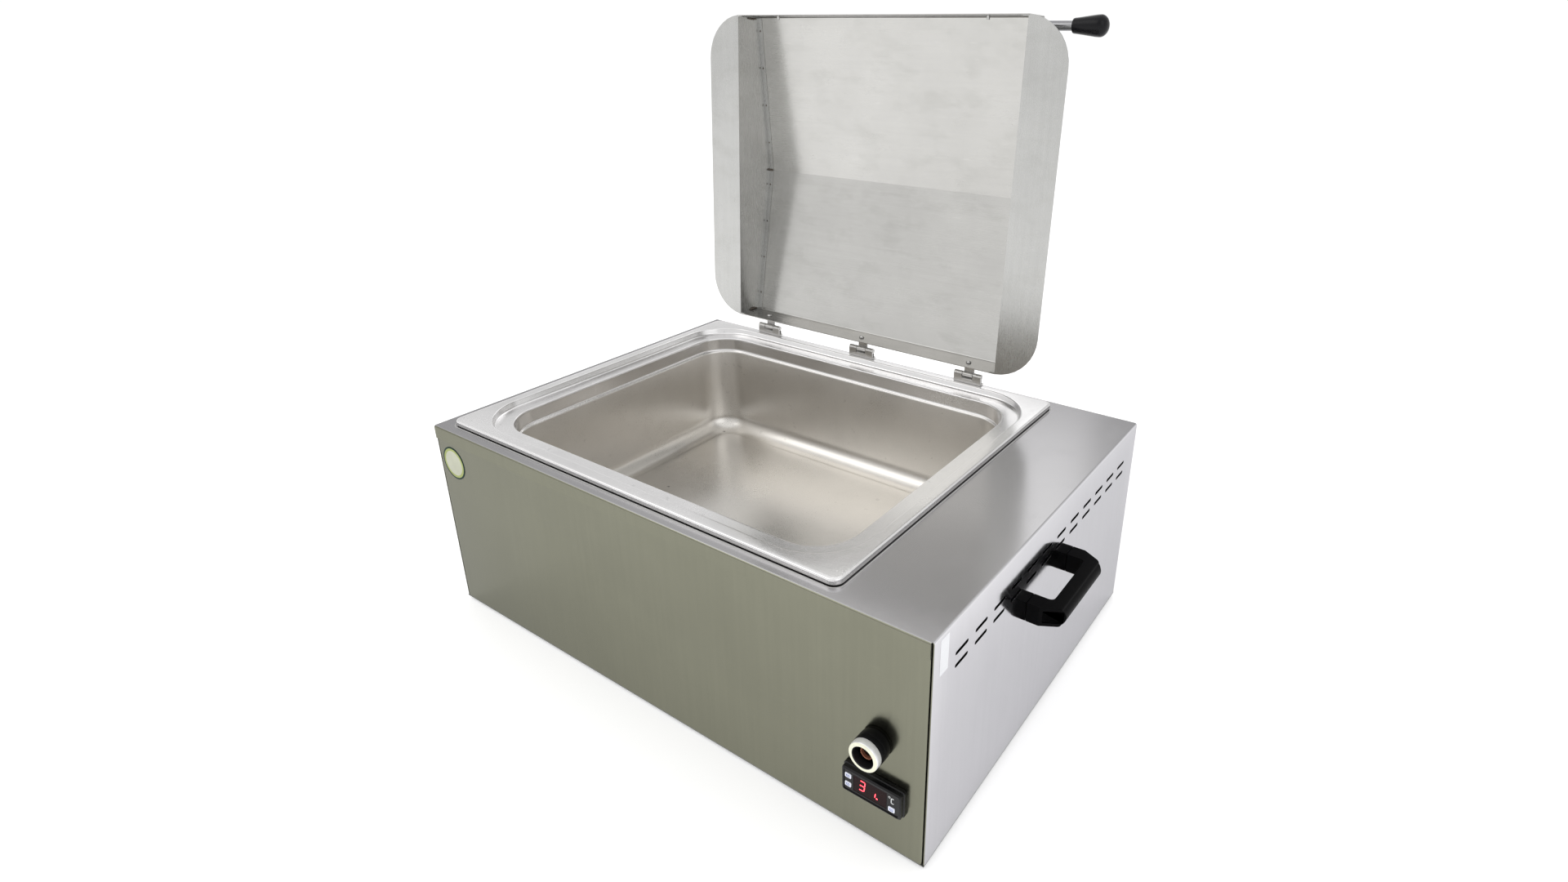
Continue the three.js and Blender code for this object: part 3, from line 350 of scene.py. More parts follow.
# Steel colour of the front panel and the cover's front skirt: partly the steel's own tone, partly
# painted reflection, which makes it darker and olive.
FRONT_STEEL_AND_REFLECTION = rgb(130, 130, 115)
looks = {
    "top": steel("top_cover_look", rgb(178, 177, 178), "x", 0.21, streak=0.004, cloud=0.02,
                 aniso=0.2, bump=0.008, grit=0.01),
    "front": steel("front_look", FRONT_STEEL_AND_REFLECTION, "z", 0.21, streak=0.02, cloud=0.03, bump=0.04,
                   grit=0.02),
    "skirt": steel("skirt_look", FRONT_STEEL_AND_REFLECTION, "z", 0.21, streak=0.02, cloud=0.03, bump=0.04,
                   grit=0.02),
    "slot": plain("slot_shadow_look", rgb(5, 5, 5), 0.8, Specular_IOR_Level=0.05),
    "back": steel("back_look", rgb(168, 169, 168), "z", 0.30),
    "base": steel("base_look", rgb(150, 151, 150), "x", 0.36),
    "right": steel("right_panel_look", rgb(218, 217, 220), "z", 0.10, streak=0.012, cloud=0.02,
                   aniso=0.2, bump=0.03),
    "left": steel("left_panel_look", rgb(196, 197, 200), "z", 0.12, streak=0.012, cloud=0.02,
                  aniso=0.2, bump=0.03),
    "hood": steel("hood_look", rgb(196, 195, 192), "x", 0.24, streak=0.012, aniso=0.3, bump=0.03,
                  tone=stained_tone),
    "gable": steel("gable_look", rgb(190, 190, 188), "z", 0.27, streak=0.02, aniso=0.3, bump=0.02,
                   grit=0.02, tone=stained_tone),
    "pan": pan_paint(),
    "hinge": steel("hinge_look", rgb(206, 205, 203), "x", 0.24, aniso=0.2),
    "rod": steel("rod_look", rgb(150, 150, 152), "x", 0.16, streak=0.03, aniso=0.2),
    "plate": steel("inner_plate_look", rgb(160, 161, 160), "x", 0.4),
    "black": plain("black_plastic_look", rgb(9, 9, 11), 0.36, Specular_IOR_Level=0.12),
    "grip": plain("grip_look", rgb(5, 5, 6), 0.42, (520.0, 520.0, 520.0), 0.06,
                  Specular_IOR_Level=0.04),
    "knob": plain("knob_look", rgb(10, 10, 14), 0.26, depth=0.015, Specular_IOR_Level=0.2),
    "bezel": plain("bezel_look", rgb(9, 9, 11), 0.28, depth=0.012, Specular_IOR_Level=0.3),
    "rubber": plain("rubber_look", rgb(24, 24, 25), 0.75, depth=0.08),
    "silicone": plain("silicone_look", rgb(176, 175, 172), 0.3, depth=0.01),
    "grey": plain("grey_plastic_look", rgb(142, 145, 148), 0.5),
    "relay": plain("relay_look", rgb(48, 52, 58), 0.45),
    "terminal": plain("terminal_look", rgb(226, 224, 216), 0.5),
    "mat": plain("heating_mat_look", rgb(190, 92, 50), 0.6, (600.0, 600.0, 600.0), 0.1),
    "wool": fibrous("mineral_wool_look", rgb(196, 170, 100), rgb(138, 112, 58)),
    "glass": plain("window_look", rgb(26, 3, 5), 0.2, depth=0.004, Specular_IOR_Level=0.1),
    # Dark look for the bore of the aluminium button ring: painted shade in the recess.
    "well_shade": plain("button_well_look", rgb(40, 40, 42), 0.3, Metallic=0.6),
    "key": plain("key_look", rgb(226, 229, 240), 0.42, depth=0.01),
    "icon": plain("key_icon_look", rgb(62, 86, 158), 0.5, depth=0.01),
    "print": plain("white_print_look", rgb(224, 226, 226), 0.5, depth=0.005),
    "lens": plain("lens_look", rgb(18, 11, 9), 0.2, depth=0.01, Specular_IOR_Level=0.2),
    "lit": glowing("lit_segment_look", rgb(255, 62, 74), 5.0),
    "label_rim": plain("label_rim_look", rgb(6, 44, 32), 0.4, depth=0.01, Specular_IOR_Level=0.1),
    "label_band": plain("label_band_look", rgb(158, 168, 98), 0.4, depth=0.01,
                        Specular_IOR_Level=0.2),
    "label_face": plain("label_face_look", rgb(190, 192, 172), 0.4, depth=0.01,
                        Specular_IOR_Level=0.2),
    "paper": plain("paper_look", rgb(226, 227, 230), 0.45, (300.0, 300.0, 300.0), 0.02, 0.05),
    "weld": plain("weld_look", rgb(112, 104, 96), 0.38, (500.0, 500.0, 500.0), 0.15, 0.3,
                  Metallic=1.0),
}


# ---------------------------------------------------------------- mesh helpers


def piece(name, mesh, look, body, smooth=32, bevel=0.0, segments=2):
    """A finished piece: smooth by angle, an optional rounded edge, its look, and its body."""
    obj = bpy.data.objects.new(name, mesh)
    bpy.context.scene.collection.objects.link(obj)
    mesh.materials.clear()
    mesh.materials.append(looks[look].material)
    mesh.shade_smooth()
    mesh.set_sharp_from_angle(angle=math.radians(smooth))
    if bevel:
        edge = obj.modifiers.new("rounded_edges", "BEVEL")
        edge.width = bevel * MM
        edge.segments = segments
        edge.limit_method = "ANGLE"
        edge.angle_limit = math.radians(smooth)
        edge.harden_normals = True
    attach(obj, body)
    return obj


def mesh_of(points, faces):
    mesh = bpy.data.meshes.new("mesh")
    mesh.from_pydata([tuple(p) for p in points], [], faces)
    work = bmesh.new()
    work.from_mesh(mesh)
    bmesh.ops.recalc_face_normals(work, faces=work.faces)
    work.to_mesh(mesh)
    work.free()
    return mesh


def rounded_rect(x0, y0, x1, y1, radius, steps=8):
    corners = ((x1 - radius, y1 - radius), (x0 + radius, y1 - radius),
               (x0 + radius, y0 + radius), (x1 - radius, y0 + radius))
    points = []
    for quarter, (cx, cy) in enumerate(corners):
        for i in range(steps + 1):
            turn = (quarter + i / steps) * math.pi / 2
            points.append((cx + radius * math.cos(turn), cy + radius * math.sin(turn)))
    return points


def loft(rings, closed=False):
    """Faces between rings of equal point count; the ends are capped, or joined if closed."""
    count = len(rings[0])
    points = [p for ring in rings for p in ring]
    faces = []
    pairs = len(rings) if closed else len(rings) - 1
    for r in range(pairs):
        a, b = r * count, (r + 1) % len(rings) * count
        for i in range(count):
            j = (i + 1) % count
            faces.append((a + i, a + j, b + j, b + i))
    if not closed:
        faces.append(tuple(range(count)))
        faces.append(tuple(range(len(points) - count, len(points))))
    return points, faces


def lathe(profile, axis, centre, place=at, segments=64):
    """profile is a closed outline of (radius, distance along the axis)."""
    rings = []
    for k in range(segments):
        turn = k / segments * 2 * math.pi
        ring = []
        for radius, t in profile:
            a, b = radius * math.cos(turn), radius * math.sin(turn)
            x, y, z = {"x": (t, a, b), "y": (a, t, b), "z": (a, b, t)}[axis]
            ring.append(place(centre[0] + x, centre[1] + y, centre[2] + z))
        rings.append(ring)
    points, faces = loft(rings, closed=True)
    mesh = mesh_of(points, faces)
    work = bmesh.new()
    work.from_mesh(mesh)
    bmesh.ops.remove_doubles(work, verts=work.verts, dist=1e-6)
    bmesh.ops.recalc_face_normals(work, faces=work.faces)
    work.to_mesh(mesh)
    work.free()
    return mesh


def rounded_path(path, reach, steps):
    """Rounds each corner of a path of n-vectors, no further than reach from the corner."""
    count = len(path)
    out = []
    for i, corner in enumerate(path):
        if i in (0, count - 1):
            out.append(tuple(corner))
            continue
        here = Vector(corner)
        back, ahead = Vector(path[i - 1]) - here, Vector(path[i + 1]) - here
        start = here + back.normalized() * min(reach, back.length * 0.45)
        end = here + ahead.normalized() * min(reach, ahead.length * 0.45)
        for k in range(steps + 1):
            t = k / steps
            out.append(tuple(start * (1 - t) ** 2 + here * 2 * t * (1 - t) + end * t * t))
    return out


def skin(node, look, bevel=0.25, segments=2):
    """The CAD sheet or block itself, welded, with rounded edges and smooth bends."""
    source = frame["nodes"][node]
    mesh = source.data.copy()
    work = bmesh.new()
    work.from_mesh(mesh)
    bmesh.ops.remove_doubles(work, verts=work.verts, dist=2e-6)
    bmesh.ops.dissolve_limit(work, angle_limit=math.radians(1.0), verts=work.verts,
                             edges=work.edges)
    bmesh.ops.recalc_face_normals(work, faces=work.faces)
    work.to_mesh(mesh)
    work.free()
    obj = piece(node + "_skin", mesh, look, source["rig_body"], bevel=bevel,
                segments=segments)
    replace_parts(obj, node)
    return obj


def give_look(obj, look, chosen):
    """Gives a look of its own to each face for which chosen(normal, centre in mm) holds."""
    obj.data.materials.append(looks[look].material)
    for face in obj.data.polygons:
        if chosen(face.normal, (face.center - CORNER) / MM):
            face.material_index = len(obj.data.materials) - 1


def prism(outline, axis, start, end, place=at, inner=None):
    """A closed outline swept straight: (x, y) along z, (x, z) along y or (y, z) along x."""
    def point(a, b, t):
        x, y, z = {"z": (a, b, t), "y": (a, t, b), "x": (t, a, b)}[axis]
        return place(x, y, z)
    rings = [[point(a, b, t) for a, b in outline] for t in (start, end)]
    if inner is None:
        return mesh_of(*loft(rings))
    hole = [[point(a, b, t) for a, b in inner] for t in (end, start)]
    return mesh_of(*loft(rings + hole, closed=True))


def boolean(first, second, operation):
    """The exact boolean of two meshes."""
    objects = []
    for mesh in (first, second):
        obj = bpy.data.objects.new("boolean_tool", mesh)
        bpy.context.scene.collection.objects.link(obj)
        objects.append(obj)
    modifier = objects[0].modifiers.new("cut", "BOOLEAN")
    modifier.operation = operation
    modifier.solver = "EXACT"
    modifier.object = objects[1]
    graph = bpy.context.evaluated_depsgraph_get()
    result = bpy.data.meshes.new_from_object(objects[0].evaluated_get(graph))
    for obj in objects:
        bpy.data.objects.remove(obj)
    return result


def bead(name, points, radius, look, body, place=at):
    """A lumpy run of weld metal along a few points."""
    work = bmesh.new()
    for k, (x, y, z) in enumerate(points):
        start = len(work.verts)
        bmesh.ops.create_icosphere(work, subdivisions=3, radius=1.0)
        work.verts.ensure_lookup_table()
        centre = place(x, y, z)
        size = radius * (0.85 + 0.3 * random.random())
        for vertex in work.verts[start:]:
            lump = 1 + 0.22 * noise.noise(vertex.co * 2.1 + Vector((k * 3.7, 0, 0)))
            vertex.co = centre + vertex.co * size * lump * MM
    mesh = bpy.data.meshes.new(name)
    work.to_mesh(mesh)
    work.free()
    return piece(name, mesh, look, body, smooth=180)


# ---------------------------------------------------------------- casing sheets

for node, look in (("front_panel", "front"), ("back_panel", "back"), ("base_plate", "base")):
    skin(node, look)


SLOT_ROWS = {"front": 30, "back": 535, "top": 255, "depth": 1.1}   # part of the right side


def facing(direction):
    return lambda normal, centre: normal.dot(direction) > 0.7


def slot_edge(normal, centre):
    """The cut edges of the vent slots in the right side, which are across its sheet."""
    in_rows = SLOT_ROWS["front"] < centre.y < SLOT_ROWS["back"] and centre.z < SLOT_ROWS["top"]
    return in_rows and centre.x > CASE_WIDTH - SLOT_ROWS["depth"] and abs(normal.x) < 0.3


cover = skin("top_cover", "top")
for direction, look in ((AXIS["x"], "right"), (-AXIS["x"], "left"), (-AXIS["y"], "skirt"),
                        (AXIS["y"], "back")):
    give_look(cover, look, facing(direction))
# The slot edges get a near-black look: painted shade for the dark inside the casing behind the
# vents.
give_look(cover, "slot", slot_edge)

for node in ("foot_front_left", "foot_front_right", "foot_back_left", "foot_back_right"):
    low, high = corner_box(node)
    centre = ((low.x + high.x) / 2, (low.y + high.y) / 2, 0)
    r = (high.x - low.x) / 2
    profile = [(0, low.z + 0.6), (r - 5, low.z + 0.6), (r - 4, low.z), (r - 1.2, low.z),
               (r - 0.4, low.z + 0.3), (r - 0.1, low.z + 1.2), (r, high.z), (0, high.z)]
    obj = piece(node + "_pad", lathe(profile, "z", centre), "rubber", "casing")
    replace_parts(obj, node)

# ---------------------------------------------------------------- wax pan

rim_low, rim_high = corner_box("wax_pan")
RIM_TOP = rim_high.z
FLOOR = 115
WALL_INSET, WALL_RADIUS, FLOOR_FILLET = 48.5, 50, 25


def pan_stations():
    """[inset, height, corner radius] of the pan's top face, lip to floor, corners rounded."""
    top, ledge = RIM_TOP, 281
    lip = [(0, 283.3, 12), (0, top - 2.6, 12), (0.5, top - 1.0, 11.5), (1.6, top - 0.2, 10.6),
           (3.4, top, 9)]
    recess = [(13.8, top, 76), (15.4, top - 0.4, 75.4), (17.2, ledge + 1.6, 73.4),
              (19.2, ledge, 71.5)]
    drop = [(37.4, ledge, 59), (39.6, ledge - 0.2, 57.6), (40.1, ledge - 2.4, 57),
            (40.8, 262, 56.4), (41.6, 259.2, 55.2), (43.8, 258.6, 53.8), (44.5, 256.2, 53)]
    stations = rounded_path(lip + recess + drop, 1.1, 4)
    steps = 16
    for i in range(steps + 1):
        turn = i / steps * math.pi / 2
        inset = WALL_INSET + FLOOR_FILLET * (1 - math.cos(turn))
        height = FLOOR + FLOOR_FILLET * (1 - math.sin(turn))
        stations.append((inset, height, WALL_RADIUS - (inset - WALL_INSET) * 0.8))
    edge = WALL_INSET + FLOOR_FILLET
    stations += [(edge + 2.4, FLOOR, 28), (edge + 3.2, FLOOR + 0.1, 27.5),
                 (edge + 4.2, FLOOR + 0.7, 26.7), (edge + 5, FLOOR + 0.8, 26)]
    return stations


def pan_ring(station):
    inset, height, radius = station
    outline = rounded_rect(rim_low.x + inset, rim_low.y + inset, rim_high.x - inset,
                           rim_high.y - inset, radius, PAN_CORNER_STEPS)
    return [at(x, y, height) for x, y in outline]


def pan_mesh():
    inside = pan_stations()
    under = [(0.9, 283.3, 11.1), (1.2, RIM_TOP - 3, 10.8), (3.4, RIM_TOP - 1.2, 9),
             (13.6, RIM_TOP - 1.2, 76), (16.2, 281.2, 73), (19, 279.8, 71.5), (37.4, 279.8, 58.5),
             (38.6, 276, 58), (39.4, 261.8, 57), (43.2, 256.6, 54), (47.3, 140, 51)]
    for i in range(9):
        turn = i / 8 * math.pi / 2
        inset = WALL_INSET + FLOOR_FILLET - (FLOOR_FILLET + SHEET) * math.cos(turn)
        height = FLOOR + FLOOR_FILLET - (FLOOR_FILLET + SHEET) * math.sin(turn)
        under.append((inset, height, WALL_RADIUS - (inset - WALL_INSET) * 0.8))
    under += [(WALL_INSET + FLOOR_FILLET + 5, FLOOR - SHEET, 26)]
    rings = [pan_ring(s) for s in reversed(inside)] + [pan_ring(s) for s in under]
    return mesh_of(*loft(rings))


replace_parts(piece("wax_pan_skin", pan_mesh(), "pan", "casing", smooth=50), "wax_pan")
SEAL_BEAD = [(2.6, 282.35), (3.4, 283.1), (4.6, 283.4), (5.6, 282.9), (5.8, 282.05), (2.8, 282.05)]
SEAL_SMEAR = [(-2.9, 282.02), (-2.7, 282.2), (-2.35, 282.28), (-2.0, 282.18), (-1.8, 282.02)]
for name, section in (("pan_seal_bead", SEAL_BEAD), ("pan_seal_smear", SEAL_SMEAR)):
    rings = [pan_ring((inset, z, 12 - inset)) for inset, z in section]
    bead_piece = piece(name, mesh_of(*loft(rings, closed=True)), "silicone", "casing",
                       smooth=60)
    if name == "pan_seal_bead":
        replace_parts(bead_piece, "pan_seal")

STUD_DOME = [(0, 0), (2.55, 0), (2.55, 0.12), (2.2, 0.35), (1.5, 0.52), (0.7, 0.6), (0, 0.62)]
for k, (x, y) in enumerate(((30, 29.5), (656, 30), (659, 531), (36, 532))):
    dome = [(r, h - 0.15) for r, h in STUD_DOME]
    piece(f"rim_rivet_{k + 1}", lathe(dome, "z", (x, y, RIM_TOP - 0.45), segments=32), "hinge",
          "casing")

# ---------------------------------------------------------------- lid and hinges

skin("lid_hood", "hood")
for node in ("lid_gable_left", "lid_gable_right"):
    skin(node, "gable")
for k in (1, 2, 3):
    skin(f"hinge_base_{k}", "hinge", bevel=0.35)
    skin(f"hinge_leaf_{k}", "hinge", bevel=0.35)
    base_low, base_high = corner_box(f"hinge_base_{k}")
    gap = rounded_rect(base_low.x + 3, base_low.z + 1, base_high.x - 3, HINGE_WEB_TOP, 0.5, 3)
    piece(f"hinge_web_{k}", prism(gap, "y", base_high.y - 1.4, base_high.y - 0.4), "hinge",
          "casing")
    skin(f"hinge_pin_{k}", "hinge", bevel=0.3)
    skin(f"leaf_screw_{k}", "hinge", bevel=0.2)
for k in (1, 2):
    skin(f"front_stud_{k}", "hinge", bevel=0.2)
skin("rod_bolt", "hinge", bevel=0.4)

LID = {"x0": 42, "x1": 650, "y0": 41, "y1": 523, "low": 281.5, "side": 60, "skirt": 48, "ridge": 80}
ROD_AT = (LID["y0"] + 13, LID["low"] + 24)


def roof_inside(y, depth):
    """Height, with the lid shut, of the face lying depth below the roof's outer face."""
    middle = (LID["y0"] + LID["y1"]) / 2
    rise = (LID["ridge"] - LID["skirt"]) / (middle - LID["y0"])
    outer = LID["low"] + LID["ridge"] - abs(y - middle) * rise
    return outer - depth * math.hypot(1, rise)


rod_low, rod_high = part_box("lid_rod")
knob_low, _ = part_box("lid_knob")
rod_x0, rod_x1 = (rod_low.x - CORNER.x) / MM, (rod_high.x - CORNER.x) / MM
knob_x0 = (knob_low.x - CORNER.x) / MM
rod = [(0, rod_x0), (5.4, rod_x0), (6, rod_x0 + 0.6), (6, rod_x1 - 1), (5, rod_x1), (0, rod_x1)]
rod_axis = (0, *ROD_AT)
obj = piece("lid_rod_skin", lathe(rod, "x", rod_axis, lid_at), "rod", "lid")
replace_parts(obj, "lid_rod")

knob = [(6.3, 0.1), (8.4, 0), (8.9, 0.25), (9.2, 0.9), (9.4, 2.4), (9.9, 7), (10.7, 13), (11.7, 20),
        (12.5, 26), (13.0, 30)]
for k in range(15):
    turn = k / 14 * math.pi / 2
    knob.append((13.25 * math.cos(turn), 34.4 + 10.6 * math.sin(turn)))
knob += [(0, 27), (6.3, 27)]
knob_axis = (knob_x0, *ROD_AT)
obj = piece("lid_knob_skin", lathe(knob, "x", knob_axis, lid_at), "knob", "lid",
            smooth=45)
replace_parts(obj, "lid_knob")

SPOT = [(0, 0), (1.5, 0), (1.5, 0.1), (1.1, 0.26), (0.55, 0.34), (0, 0.36)]
for side, strip_x in (("left", LID["x0"] + LID["side"] + 4),
                      ("right", LID["x1"] - LID["side"] - 4)):
    for k, y in enumerate((62, 118, 176, 236, 306, 368, 430, 492)):
        z = roof_inside(y, 2.5)
        spot = [(r, -h) for r, h in SPOT]
        piece(f"spot_weld_{side}_{k + 1}", lathe(spot, "z", (strip_x, y, z), lid_at, 24), "weld",
              "lid")
    middle = (LID["y0"] + LID["y1"]) / 2
    inward = 1 if side == "left" else -1
    wall_x = strip_x - inward * 3.4
    run = [(wall_x + inward * 1.4 * i, middle + random.uniform(-0.8, 0.8),
            roof_inside(middle, 3.0) - 0.2) for i in range(5)]
    bead(f"ridge_weld_{side}", run, 1.5, "weld", "lid", lid_at)
    for end, y in (("front", LID["y0"] + 4), ("back", LID["y1"] - 4)):
        run = [(wall_x + inward * 1.2, y + random.uniform(-0.6, 0.6), LID["low"] + 24 + 3.2 * i)
               for i in range(6)]
        bead(f"corner_weld_{end}_{side}", run, 1.35, "weld", "lid", lid_at)

# ---------------------------------------------------------------- carrying handles


def quad_curve(start, middle, end, steps=8):
    """Points of a curve bent towards its middle point, without its start."""
    points = []
    for k in range(1, steps + 1):
        t = k / steps
        points.append(tuple(
            s * (1 - t) ** 2 + m * 2 * t * (1 - t) + e * t * t
            for s, m, e in zip(start, middle, end)))
    return points


def handle_mesh(side, plate_x, y, z):
    """side is 1 on the right and -1 on the left; plate_x is the casing's outer face."""
    half, height, straight, edge, middle, bar, foot = 69, 24.5, 15.5, 36.5, 42, 13.5, 21.2
    run = 15

    def place(px, py, pz):
        return at(plate_x + side * px, y + py, z + pz)

    outline = [(0.3, -half), (straight, -half), (middle, -half + run), (middle, half - run),
               (straight, half), (0.3, half), (0.3, half - foot)]
    inner, turn = edge - bar, 7
    gap = half - foot
    outline.append((inner - turn, gap))
    outline += quad_curve((inner - turn, gap), (inner, gap), (inner, gap - turn))
    outline.append((inner, -gap + turn))
    outline += quad_curve((inner, -gap + turn), (inner, -gap), (inner - turn, -gap))
    outline.append((0.3, -gap))
    bridge = prism(outline, "z", -height / 2, height / 2, place)
    low, high = -height / 2 + 0.01, height / 2 - 0.01
    crown = [(-0.7, low), (edge - 2.5, low)]
    crown += quad_curve((edge - 2.5, low), (edge + 0.5, low + 0.4), (edge + 1, low + 3), 5)
    crown += quad_curve((edge + 1, low + 3), (middle, -5), (middle, 0), 10)
    crown += quad_curve((middle, 0), (middle, 5), (edge + 1, high - 3), 10)
    crown += quad_curve((edge + 1, high - 3), (edge + 0.5, high - 0.4), (edge - 2.5, high), 5)
    crown.append((-0.7, high))
    solid = boolean(bridge, prism(crown, "y", -half - 5, half + 5, place), "INTERSECT")
    slope = Vector((middle - straight, run)).normalized()
    out = Vector((slope.y, -slope.x))
    for end in (-1, 1):
        recess = []
        for along, height_at in rounded_rect(4.0, -7.6, 27.5, 7.6, 1.2, 4):
            foot_point = Vector((straight, -half)) + slope * along
            recess.append((foot_point, height_at))
        rings = []
        for depth in (-0.7, 3.0):
            ring = []
            for foot_point, height_at in recess:
                p = foot_point + out * depth
                ring.append(place(p.x, p.y * -end, height_at))
            rings.append(ring)
        solid = boolean(solid, mesh_of(*loft(rings)), "DIFFERENCE")
    return solid


for node, side, plate_x in (("handle_right", 1, CASE_WIDTH), ("handle_left", -1, 0)):
    low, high = corner_box(node)
    mesh = handle_mesh(side, plate_x, (low.y + high.y) / 2, (low.z + high.z) / 2)
    obj = piece(node + "_skin", mesh, "grip", "casing", 28, 0.7, 3)
    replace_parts(obj, node)

# ---------------------------------------------------------------- push button

ring_low, ring_high = corner_box("button_ring")
BUTTON = ((ring_low.x + ring_high.x) / 2, 0, (ring_low.z + ring_high.z) / 2)
front, ring_back = ring_low.y, ring_high.y
collar_low, collar_high = corner_box("button_collar")
collar = [(11.8, collar_low.y), (16.6, collar_low.y), (17.2, collar_low.y + 0.3),
          (17.5, collar_low.y + 1), (17.5, -9.2), (17.2, -8.9), (17.2, -8.3), (17.5, -8),
          (17.5, -2.2), (17.2, -1.4), (16.4, -1), (16.3, 1.2), (11, 1.2), (11, collar_high.y),
          (6.5, collar_high.y), (6.5, -5), (11.8, -5)]
obj = piece("button_collar_skin", lathe(collar, "y", BUTTON), "black", "casing")
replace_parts(obj, "button_collar")
ring = [(12, ring_back), (12, front + 1.4), (12.2, front + 0.7), (12.8, front + 0.1), (13.2, front),
        (15.2, front), (16.1, front + 0.25), (16.7, front + 0.8), (17, front + 1.7),
        (17, ring_back - 0.4), (16.7, ring_back)]
looks["ring"] = turned_metal("ring_look", rgb(240, 240, 218), "y", at(*BUTTON), 0.4, 0.3)
obj = piece("button_ring_skin", lathe(ring, "y", BUTTON, segments=96), "ring", "casing",
            smooth=40)
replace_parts(obj, "button_ring")
# The ring's outer side gets a whiter, glossier copy of the ring's look: a painted highlight.
looks["ring_side_highlight"] = turned_metal("ring_side_look", rgb(250, 250, 252), "y", at(*BUTTON), 0.35, 0.5)
RING_BORE, RING_FACE = 12.9, 16.6    # outer radii of the bore's look and of the face's


def from_axis(centre):
    return math.hypot(centre.x - BUTTON[0], centre.z - BUTTON[2])


# The bore gets the dark look: painted shade inside the ring's recess.
give_look(obj, "well_shade", lambda normal, centre: from_axis(centre) < RING_BORE)
# Outer side of the ring: painted highlight.
give_look(obj, "ring_side_highlight", lambda normal, centre: from_axis(centre) > RING_FACE)
plunger_low, plunger_high = corner_box("button_plunger")
face = plunger_low.y
plunger = [(0, face + 1.6), (2.6, face + 1.5), (4.8, face + 1.1), (6.0, face + 0.9),
           (6.2, face + 0.9), (6.4, face + 0.4), (6.9, face), (9.0, face), (9.9, face + 0.2),
           (10.8, face + 0.7), (11.3, face + 1.6), (11.3, face + 5), (6, face + 5),
           (6, plunger_high.y), (0, plunger_high.y)]
obj = piece("button_plunger_skin", lathe(plunger, "y", BUTTON), "lens", "button",
            smooth=40)
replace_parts(obj, "button_plunger")
looks["copper"] = turned_metal("copper_ring_look", rgb(196, 132, 104), "y", at(*BUTTON), 0.3, 0.5)
copper = [(6.3, face + 0.5), (6.3, face - 3.0), (6.5, face - 3.3), (6.9, face - 3.3),
          (7.1, face - 3.0), (7.1, face + 0.5)]
piece("button_inner_ring", lathe(copper, "y", BUTTON), "copper", "button")

# ---------------------------------------------------------------- panel thermostat

skin("controller_bezel", "bezel", bevel=0.6, segments=3)
skin("controller_window", "glass", bevel=0.15)
for node in ("key_up", "key_down", "key_set"):
    skin(node, "key", bevel=0.35, segments=3)

SEGMENTS = {
    "a": ((-0.5, 1), (0.5, 1)), "b": ((0.5, 1), (0.5, 0)), "c": ((0.5, 0), (0.5, -1)),
    "d": ((-0.5, -1), (0.5, -1)), "g": ((-0.5, 0), (0.5, 0)),
}


def strip(name, start, end, width, y, look, body, thick=0.14):
    """A flat bar in the front plane, with pointed ends."""
    a, b = Vector(start), Vector(end)
    along = (b - a).normalized()
    side = Vector((-along.y, along.x)) * width / 2
    tip = width / 2
    outline = [a, a + along * tip + side, b - along * tip + side, b, b - along * tip - side,
               a + along * tip - side]
    mesh = prism([tuple(p) for p in outline], "y", y - thick, y + 0.02)
    return piece(name, mesh, look, body, bevel=0.03)


window_low, _ = corner_box("controller_window")
DIGIT = {"width": 6.2, "half": 6.2, "bar": 1.0, "lean": 0.12, "z": 76.2}


def digit(name, x, lit):
    for key in lit:
        ends = []
        for u, v in SEGMENTS[key]:
            ends.append((x + u * DIGIT["width"] + v * DIGIT["half"] * DIGIT["lean"],
                         DIGIT["z"] + v * DIGIT["half"]))
        a, b = Vector(ends[0]), Vector(ends[1])
        trim = (b - a).normalized() * 0.35
        strip(f"{name}_{key}", a + trim, b - trim, DIGIT["bar"], window_low.y, "lit", "casing")


digit("digit_left", 720.2, "abcdg")
digit("digit_right", 733.4, "c")
dot = [(0, 0.02), (0.95, 0.02), (0.95, -0.1), (0.8, -0.14), (0, -0.14)]
piece("digit_dot", lathe(dot, "y", (738.2, window_low.y, 70.0), segments=24), "lit", "casing")

bezel_low, _ = corner_box("controller_bezel")
face_y = bezel_low.y + 1.0
circle = [(0.75, 0.02), (1.25, 0.02), (1.25, -0.1), (0.75, -0.1)]
piece("degree_mark", lathe(circle, "y", (753.2, face_y, 82.4), segments=32), "print", "casing")
for k, (a, b) in enumerate((((755.4, 82.0), (758.6, 82.0)), ((755.4, 82.0), (755.4, 75.8)),
                            ((755.4, 75.8), (758.6, 75.8)))):
    strip(f"celsius_mark_{k + 1}", a, b, 0.95, face_y, "print", "casing", 0.1)

for node, body in (("key_up", "up_key"), ("key_down", "down_key"), ("key_set", "set_key")):
    low, high = corner_box(node)
    cx, cz, y = (low.x + high.x) / 2, (low.z + high.z) / 2, low.y
    patch = rounded_rect(cx - 2.1, cz - 1.5, cx + 2.1, cz + 1.5, 0.5, 4)
    inner = rounded_rect(cx - 1.55, cz - 0.95, cx + 1.55, cz + 0.95, 0.25, 4)
    piece(node + "_icon_frame", prism(patch, "y", y - 0.06, y + 0.02, inner=inner), "icon", body)
    strip(node + "_icon_bar", (cx - 1.0, cz), (cx + 1.0, cz), 0.5, y, "icon", body,
          0.06)

# ---------------------------------------------------------------- labels

